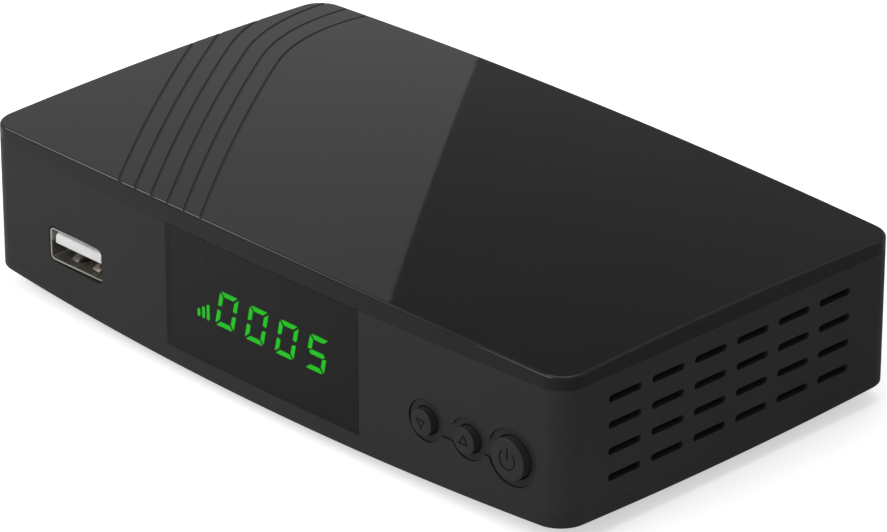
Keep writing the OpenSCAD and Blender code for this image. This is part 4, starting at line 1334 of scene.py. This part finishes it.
@dataclass
class DisplayStrokes(SubAssembly):
    """Lit strokes of the four digits and the signal sign, behind the window."""

    middle: Pair = (3.4, 15.06)
    pitch: float = 6.87
    digit: Pair = (4.65, 6.6)
    stroke: float = 1.2
    gap: float = 0.22
    apart: float = 0.1
    lean: float = 12.5
    thick: float = 0.1
    corner: float = 0.09
    corner_steps: int = 3
    end_cut: float = 0.25
    bar_end: float = 0.36
    # Letters of the lit strokes of each digit, a at the top and on clockwise, g across the middle.
    figures: tuple[str, ...] = ("abcdef", "abcdef", "abcdef", "afgcd")
    sign_left: float = -13.82
    sign_floor: float = 12.05
    sign_pitch: float = 1.1
    sign_wide: float = 0.55
    sign_heights: tuple[float, ...] = (1.25, 1.925, 2.6)
    sign_round: float = 0.12

    def layout(self) -> dict[str, tuple[float, float, int, float, float]]:
        """The six outer strokes by their letters, a at the top and on clockwise.

        Returns:
            Middle, quarter turns and cuts of the left and right end of each stroke.
        """
        across = (self.digit[0] - self.stroke) / 2
        up = (self.digit[1] - self.stroke) / 2
        side = self.digit[1] / 4 + self.apart / 2
        whole = self.stroke
        part = self.end_cut
        return {"a": (0.0, up, 0, whole, whole), "d": (0.0, -up, 2, whole, whole),
                "f": (-across, side, 1, part, whole), "e": (-across, -side, 1, whole, part),
                "b": (across, side, 3, whole, part), "c": (across, -side, 3, part, whole)}

    def outer_stroke(self, letter: str) -> Form:
        """One of the six outer strokes, whose inner edge is shorter than its outer one.

        Args:
            letter: Letter of the stroke.

        Returns:
            The flat form, in its place about the middle of the digit.
        """
        x, y, quarters, left, right = self.layout()[letter]
        long = self.digit[1] / 2 - self.apart if quarters % 2 else self.digit[0]

        def cut(place: Vector) -> Vector:
            """Moves the ends of the inner edge inwards."""
            if place.y > 0:
                return place
            return place + Vector((left if place.x < 0 else -right, 0.0, 0.0))

        form = Form.sheet(long, self.stroke).shift_each(cut).shrink(self.gap)
        return form.rotate(Matrix.Rotation(quarters * math.pi / 2, 3, "Z")).move((x, y, 0.0))

    def middle_stroke(self) -> Form:
        """The stroke across the middle of a digit, letter g."""
        high = self.stroke - 2 * self.gap
        return Form.sheet(self.digit[0] - self.stroke, high, self.stroke * self.bar_end, steps=1)

    def figure(self, letters: str) -> Form:
        """The lit strokes of one figure, upright about the origin of the XY drawing.

        Args:
            letters: Letters of the lit strokes.

        Returns:
            The flat form.
        """
        forms = [self.middle_stroke() if letter == "g" else self.outer_stroke(letter) for letter in letters]
        for form in forms:
            form.round_corners(form.bm.verts[:], self.corner, self.corner_steps)
        return Form.gather(forms)

    def build(self) -> None:
        """Builds the lit strokes."""
        lean = math.tan(math.radians(self.lean))
        whole = Form()
        for place, letters in enumerate(self.figures):
            digit = self.figure(letters).shift_each(lambda spot: spot + Vector((spot.y * lean, 0.0, 0.0)))
            along = (place - (len(self.figures) - 1) / 2) * self.pitch
            whole.take(digit.move((self.middle[0] + along, self.middle[1], 0.0)))
        for place, tall in enumerate(self.sign_heights):
            bar = Form.sheet(self.sign_wide, tall, self.sign_round, steps=2)
            left = self.sign_left + place * self.sign_pitch
            whole.take(bar.move((left + self.sign_wide / 2, self.sign_floor + tall / 2, 0.0)))
        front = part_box("lit_segments")[0].y / MM
        whole.turn(Facing.FRONT).move((0.0, front, 0.0)).pull((0.0, self.thick, 0.0))
        self.finish(whole, "lit_figures", "lit_segments", Slot.LIT_GREEN)


@dataclass
class PushButton(SubAssembly):
    """Round cap with an engraved sign, a collar behind the wall and a stem."""

    sign: Sign
    x: float
    radius: float
    plan: CasePlan = PLAN
    proud: float = 1.05
    face_round: float = 0.15
    face_steps: int = 5
    collar: Pair = (0.9, 0.8)
    collar_room: float = 0.3
    stem_r: float = 1.2
    line: float = 0.3
    depth: float = 0.2
    above: float = 1.0
    arrow_share: float = 0.575
    ring_share: float = 0.46
    ring_open: float = 80.0
    ring_steps: int = 48

    @property
    def body(self) -> str:
        """Body that the cap rides."""
        return f"{self.sign.value}_cap"

    @property
    def node(self) -> str:
        """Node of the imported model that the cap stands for."""
        return f"{self.sign.value}_button"

    @property
    def face(self) -> float:
        """Y of the face of the cap."""
        return self.plan.front_y(self.x) - self.proud

    def cap(self) -> Form:
        """The turned cap about its own axis.

        Returns:
            The closed form.
        """
        face = self.face
        wide = self.radius + self.collar[0]
        collar = self.plan.front_y(self.x + wide, self.plan.wall) + self.collar_room
        behind = collar + self.collar[1]
        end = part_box(self.node)[1].y / MM
        form = Form.lathe([(0.0, face), (self.radius, face), (self.radius, collar), (wide, collar),
                           (wide, behind), (self.stem_r, behind), (self.stem_r, end), (0.0, end)])
        rim = [edge for edge in form.bm.edges
               if edge.is_manifold and edge.calc_face_angle(0.0) > SHARP_EDGE
               and all(abs(vert.co.y - face) < TOUCH for vert in edge.verts)]
        return form.bevel(rim, self.face_round, self.face_steps)

    def power_sign(self) -> list[Form]:
        """An open ring with an upright stroke.

        Returns:
            The flat forms.
        """
        size = self.radius * self.ring_share
        ring = Form()
        start = math.radians(90 + self.ring_open / 2)
        verts = [ring.bm.verts.new((r * math.cos(start), r * math.sin(start), 0.0))
                 for r in (size - self.line / 2, size + self.line / 2)]
        section = [*verts, ring.bm.edges.new(verts)]
        ring.spin(section, (0, 0, 0), (0, 0, 1), math.radians(360 - self.ring_open), self.ring_steps)
        long = size + self.line
        return [ring, Form.sheet(self.line, long).move((0.0, long / 2, 0.0))]

    def arrow_sign(self) -> list[Form]:
        """The outline of a triangle that points up or down.

        Returns:
            The flat form, alone in a list.
        """
        arrow = Form.disc(self.radius * self.arrow_share, steps=3)
        tip = next(iter(arrow.bm.verts)).co
        aim = math.pi / 2 if self.sign is Sign.UP else -math.pi / 2
        arrow.rotate(Matrix.Rotation(aim - math.atan2(tip.y, tip.x), 3, "Z"))
        return [arrow.ring(self.line)]

    def build(self) -> None:
        """Builds the button."""
        form = self.cap()
        for drawing in self.power_sign() if self.sign is Sign.POWER else self.arrow_sign():
            drawing.turn(Facing.FRONT).move((0.0, self.face - self.above, 0.0))
            form.carve(drawing.pull((0.0, self.depth + self.above, 0.0)))
        form.move((self.x, 0.0, self.plan.button_z))
        self.finish(form, f"{self.sign.value}_key", self.node, Slot.BUTTON_PLASTIC)


@dataclass
class UsbSocket(SubAssembly):
    """Drawn metal shell of the USB socket with its pale tongue."""

    x: float = PLAN.usb[0]
    z: float = PLAN.usb[1]
    size: Pair = (13.1, 5.7)
    rounding: float = 0.9
    sheet: float = 0.35
    edge_round: float = 0.08
    blade_size: Pair = (11.2, 1.84)
    blade_z: float = 13.33
    blade_in: float = 0.3
    blade_round: float = 0.16
    nose_round: float = 0.95
    nose_steps: int = 8
    stop: Point = (12.1, 4.7, 3.0)
    stop_round: float = 0.4
    stop_in: float = 0.3
    finger_x: float = 2.62
    finger_size: Pair = (1.8, 0.25)
    finger_round: float = 0.1
    finger_reach: Pair = (1.6, 6.6)
    finger_rise: float = 0.85
    finger_steps: int = 14
    slot_room: float = 0.7
    slot_round: float = 0.5
    slot_floor: float = 0.1
    slot_high: float = 2.0

    def shell(self, front: float, back: float) -> Form:
        """The drawn shell with slots under its two spring fingers.

        Args:
            front: Y of its mouth.
            back: Y of its rear end.

        Returns:
            The closed form.
        """
        form = Form.sheet(*self.size, self.rounding).ring(self.sheet)
        form.turn(Facing.FRONT).move((self.x, front, self.z)).pull((0.0, back - front, 0.0))
        form.soften(self.edge_round)
        floor = self.z - self.size[1] / 2
        near, far = self.finger_reach
        for side in (-1, 1):
            slot = Form.sheet(self.finger_size[0] + self.slot_room, far - near, self.slot_round)
            slot.move((self.x + side * self.finger_x, front + (near + far) / 2, floor + self.slot_floor))
            form.carve(slot.pull((0.0, 0.0, self.slot_high)))
            form.take(self.finger(side, front, floor + self.sheet / 2))
        return form

    def finger(self, side: int, front: float, floor: float) -> Form:
        """One arched spring finger.

        Args:
            side: Minus one for the left finger, one for the right.
            front: Y of the mouth.
            floor: Height of the middle of the shell's floor.

        Returns:
            The closed form.
        """
        near, far = self.finger_reach
        half = (far - near) / 2
        radius = (half * half + self.finger_rise ** 2) / (2 * self.finger_rise)
        turn = math.asin(half / radius)
        middle = front + (near + far) / 2
        form = Form.sheet(*self.finger_size, self.finger_round, steps=2).turn(Facing.FRONT)
        form.move((self.x + side * self.finger_x, middle, floor + self.finger_rise))
        centre = (0.0, middle, floor + self.finger_rise - radius)
        form.rotate(Matrix.Rotation(-turn, 3, "X"), centre)
        form.spin(form.bm.faces[:], centre, (1, 0, 0), 2 * turn, self.finger_steps)
        return form.merge().outward()

    def blade(self, front: float, back: float) -> Form:
        """The pale tongue with its round nose and the block that holds it at the rear.

        Args:
            front: Y of the mouth.
            back: Y of the rear end of the shell.

        Returns:
            The closed form.
        """
        wide, high, deep = self.stop
        nose = front + self.blade_in
        long = back - deep / 2 - nose
        form = Form.sheet(long, self.blade_size[1])
        upper = [vert for vert in form.bm.verts if vert.co.x < 0 < vert.co.y]
        form.round_corners(upper, self.nose_round, self.nose_steps)
        form.turn(Facing.SIDE).move((self.x - self.blade_size[0] / 2, nose + long / 2, self.blade_z))
        form.pull((self.blade_size[0], 0.0, 0.0)).soften(self.blade_round, segments=3)
        block = Form.sheet(wide, high, self.stop_round, steps=4).turn(Facing.FRONT)
        block.move((self.x, back - deep, self.z)).pull((0.0, deep - self.stop_in, 0.0))
        return form.carve(block, Carve.JOIN)

    def build(self) -> None:
        """Builds the shell and the tongue."""
        front, back = (corner.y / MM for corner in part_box("usb_shell"))
        self.finish(self.shell(front, back), "usb_housing", "usb_shell", Slot.NICKEL_PLATE)
        self.finish(self.blade(front, back), "usb_blade", "usb_tongue", Slot.PALE_PLASTIC)


@dataclass
class CarriedNodes:
    """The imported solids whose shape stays: each gets the finish of its slot, some eased edges."""

    weld: float = 0.02
    flat_angle: float = 1.0
    steps: int = 3
    eased: dict[str, float] = field(default_factory=lambda: {
        "rubber_feet": 0.25, "case_screws": 0.12, "aerial_in_shell": 0.18, "aerial_out_shell": 0.18,
        "hdmi_shell": 0.1, "av_jack_bush": 0.18, "dc_jack_body": 0.2})

    def ease(self, node: bpy.types.Object, width: float) -> None:
        """Rounds the edges of a solid.

        Args:
            node: The solid.
            width: Width of the rounding in millimetres.
        """
        node.modifiers.new("weld", "WELD").merge_threshold = self.weld * MM
        flat = node.modifiers.new("flat_faces", "DECIMATE")
        flat.decimate_type = "DISSOLVE"
        flat.angle_limit = math.radians(self.flat_angle)
        bevel = node.modifiers.new("eased_edges", "BEVEL")
        bevel.width = width * MM
        bevel.segments = self.steps
        bevel.limit_method = "ANGLE"
        bevel.angle_limit = SHARP_EDGE
        bevel.use_clamp_overlap = False
        node.modifiers.new("even_shading", "WEIGHTED_NORMAL")

    def build(self) -> None:
        """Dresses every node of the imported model."""
        worn = {part["node"]: Slot(part["material_slot"]) for part in frame["record"]["subparts"]}
        for name, node in frame["nodes"].items():
            node.data.materials.clear()
            node.data.materials.append(Wardrobe.material(worn[name]))
            if name in self.eased and not node.hide_render:
                self.ease(node, self.eased[name])
        log.info("%d nodes dressed", len(worn))


@dataclass(frozen=True)
class Lamp:
    """A soft square lamp that faces the object: place and side in metres, power in watts."""

    name: str
    at: Point
    size: float
    power: float
    in_gloss: bool = True

    def hang(self) -> None:
        """Adds the lamp to the scene."""
        data = bpy.data.lights.new(self.name, "AREA")
        data.shape = "SQUARE"
        data.size = self.size
        data.energy = self.power
        lamp = bpy.data.objects.new(self.name, data)
        lamp.location = self.at
        lamp.rotation_euler = (-Vector(self.at)).to_track_quat("-Z", "Y").to_euler()
        lamp.visible_glossy = self.in_gloss
        bpy.context.scene.collection.objects.link(lamp)


@dataclass(frozen=True)
class GlossCard:
    """A glowing card that only gloss shows, with a level that changes along a direction."""

    along: Vector
    levels: Pair
    reach: Pair

    def glow(self, card: bpy.types.Object) -> None:
        """Makes an object such a card.

        Args:
            card: The object.
        """
        graph = Graph(card.name)
        graph.set("Base Color", (0.0, 0.0, 0.0))
        graph.set("Specular IOR Level", 0.0)
        graph.set("Emission Color", (1.0, 1.0, 1.0))
        dot = graph.add("ShaderNodeVectorMath")
        dot.operation = "DOT_PRODUCT"
        dot.inputs[1].default_value = self.along
        graph.join(graph.place, dot.inputs[0])
        graph.feed("Emission Strength", graph.spread(dot.outputs["Value"], self.levels, self.reach))
        card.data.materials.append(graph.material)
        card.visible_camera = False
        card.visible_diffuse = False
        card.visible_transmission = False
        card.visible_shadow = False


@dataclass(frozen=True)
class RimCard:
    """A card for a bright line along a rim of the lid, which fades along its reach: sizes in metres."""

    name: str
    at: Point
    level: float
    reach: Pair
    high: float = 0.5

    def hang(self) -> None:
        """Adds the card to the scene."""
        facing = -Vector(self.at).normalized()
        along = Vector((0.0, 0.0, 1.0)).cross(facing).normalized()
        form = Form.sheet(2 * self.reach[1] / MM, self.high / MM)
        form.rotate(Matrix((along, facing.cross(along), facing)).transposed())
        card = form.move(Vector(self.at) / MM).piece(self.name)
        GlossCard(-along, (self.level, 0.0), self.reach).glow(card)


@dataclass
class Studio:
    """Floor, lights, cards, world and camera: floor and sheet in millimetres, the rest in metres."""

    plan: CasePlan = PLAN
    camera_at: Point = (0.5535, -0.5373, 0.3820)
    right: Point = (0.69582, 0.71822, 0.0)
    up: Point = (-0.31087, 0.30128, 0.90144)
    back: Point = (0.64746, -0.62721, 0.43291)
    lens: float = 216.55
    sensor: float = 36.0
    clip: Pair = (0.01, 50.0)
    ambient: float = 0.45
    floor_size: float = 12000.0
    floor_drop: float = 0.02
    floor_greys: Pair = (0.84, 0.86)
    floor_cloud: float = 300.0
    floor_roughness: float = 0.9
    floor_glow: float = 0.55
    card_distance: float = 0.9
    # Two places on the lid, in millimetres, where the edge between the cards shows.
    card_edge: tuple[Pair, Pair] = ((-26.5, 32.7), (30.4, -41.95))
    card_levels: tuple[Pair, Pair] = ((0.47, 0.48), (0.225, 0.155))
    card_half: float = 0.15
    card_wide: float = 0.8
    card_past: float = 0.8
    card_steps: int = 32
    sheet_size: float = 1600.0
    sheet_rise: float = 0.2
    sheet_way: Point = (0.5, 0.866, 0.0)
    sheet_levels: Pair = (0.53, 0.205)
    sheet_reach: Pair = (-0.1, 0.05)
    rim_cards: tuple[RimCard, ...] = (RimCard("side_card", (-0.84, -0.5, 0.7), 4.0, (0.0, 0.34)),
                                      RimCard("rear_card", (0.25, 0.8, 0.95), 0.75, (0.1, 0.3)))
    lamps: tuple[Lamp, ...] = (Lamp("key_lamp", (-0.32, -1.5, 1.1), 1.4, 13.3),
                               Lamp("side_lamp", (-0.84, -0.5, 0.7), 0.5, 2.2, in_gloss=False),
                               Lamp("top_lamp", (-0.1, 0.2, 1.6), 1.2, 6.0))

    def camera(self) -> None:
        """Sets the camera at the angle of the photograph."""
        data = bpy.data.cameras.new("camera")
        data.lens = self.lens
        data.sensor_width = self.sensor
        data.sensor_fit = "HORIZONTAL"
        data.clip_start, data.clip_end = self.clip
        camera = bpy.data.objects.new("camera", data)
        turn = Matrix((self.right, self.up, self.back)).transposed().to_4x4()
        camera.matrix_world = Matrix.Translation(self.camera_at) @ turn
        bpy.context.scene.collection.objects.link(camera)
        bpy.context.scene.camera = camera

    def world(self) -> None:
        """Sets a white surround for the eye and a dimmer one for the light."""
        world = bpy.data.worlds.new("surround")
        world.use_nodes = True
        tree = world.node_tree
        tree.nodes.clear()
        mix = tree.nodes.new("ShaderNodeMixShader")
        for entry, strength in enumerate((self.ambient, 1.0), start=1):
            surround = tree.nodes.new("ShaderNodeBackground")
            surround.inputs["Color"].default_value = (1.0, 1.0, 1.0, 1.0)
            surround.inputs["Strength"].default_value = strength
            tree.links.new(surround.outputs["Background"], mix.inputs[entry])
        path = tree.nodes.new("ShaderNodeLightPath")
        output = tree.nodes.new("ShaderNodeOutputWorld")
        tree.links.new(path.outputs["Is Camera Ray"], mix.inputs["Fac"])
        tree.links.new(mix.outputs["Shader"], output.inputs["Surface"])
        bpy.context.scene.world = world

    def floor(self) -> None:
        """Lays the pale floor, which keeps the shadow of the object."""
        form = Form.sheet(self.floor_size, self.floor_size)
        floor = form.move((0.0, 0.0, -self.floor_drop)).piece("floor")
        graph = Graph("floor_paint")
        graph.set("Roughness", self.floor_roughness)
        graph.set("Specular IOR Level", 0.0)
        graph.set("Emission Color", (1.0, 1.0, 1.0))
        dark, pale = ((grey, grey, grey) for grey in self.floor_greys)
        graph.feed("Base Color", graph.blend(graph.spread(graph.noise(self.floor_cloud)), dark, pale))
        seen = graph.add("ShaderNodeLightPath").outputs["Is Camera Ray"]
        graph.feed("Emission Strength", graph.spread(seen, (0.0, self.floor_glow), (0.0, 1.0)))
        floor.data.materials.append(graph.material)

    @property
    def card_facing(self) -> Vector:
        """Normal of the card plane: the camera's direction, turned back by a level lid."""
        return Vector((self.back[0], self.back[1], -self.back[2]))

    def mirrored(self, x: float, y: float) -> Vector:
        """Where the eye's ray lands on the card plane after the lid has turned it back.

        Args:
            x: X of a place on the lid in millimetres.
            y: Y of that place.

        Returns:
            The point on the card plane in metres.
        """
        plan = self.plan
        place = Vector((x, y, plan.crown - plan.sag(x, y))) * MM
        normal = Vector((x / plan.crown_across, (y - plan.middle) / plan.crown_along, 1.0)).normalized()
        ray = (place - Vector(self.camera_at)).normalized()
        way = ray - 2 * ray.dot(normal) * normal
        facing = self.card_facing
        middle = -facing * self.card_distance
        return place + way * ((middle - place).dot(facing) / way.dot(facing))

    def cards(self) -> None:
        """Hangs a pale and a dark card that only the gloss of the lid shows, edge to edge."""
        first, second = (Vector(end) for end in self.card_edge)
        along = (self.mirrored(*second) - self.mirrored(*first)).normalized()
        across = self.card_facing.cross(along).normalized()
        middle = self.mirrored(*((first + second) / 2)).dot(along)
        reach = (middle - self.card_half, middle + self.card_half)
        for name, side, levels in zip(("pale_card", "dark_card"), (1, -1), self.card_levels):

            def hung(place: Vector) -> Vector:
                """Takes a corner, from minus one to one, to its place in the air in millimetres."""
                edge = self.mirrored(*first.lerp(second, 0.5 + self.card_past * place.x))
                return (edge + across * (self.card_wide * side if place.y > 0 else 0.0)) / MM

            card = Form.sheet(2.0, 2.0, columns=self.card_steps).shift_each(hung).piece(name)
            GlossCard(along, levels, reach).glow(card)

    def dim_sheet(self) -> None:
        """Lays a sheet on the floor that only gloss shows, dimmer towards the rear right."""
        form = Form.sheet(self.sheet_size, self.sheet_size)
        sheet = form.move((0.0, 0.0, self.sheet_rise)).piece("dim_sheet")
        GlossCard(Vector(self.sheet_way), self.sheet_levels, self.sheet_reach).glow(sheet)

    def build(self) -> None:
        """Sets up the whole studio."""
        bpy.context.scene.view_settings.view_transform = "Standard"
        self.camera()
        self.world()
        self.floor()
        self.cards()
        self.dim_sheet()
        for thing in (*self.rim_cards, *self.lamps):
            thing.hang()
        log.info("studio set")


def main() -> None:
    """Builds the receiver and its studio."""
    logging.basicConfig(level=logging.INFO, format="%(name)s: %(message)s")
    buttons = [PushButton(sign, x, radius) for sign, (x, radius) in zip(Sign, PLAN.buttons)]
    for part in (TopCover(), WallRing(), BottomCover(), DisplayWindow(), DisplayStrokes(), *buttons,
                 UsbSocket(), CarriedNodes(), Studio()):
        part.build()


if __name__ == "__main__":
    main()
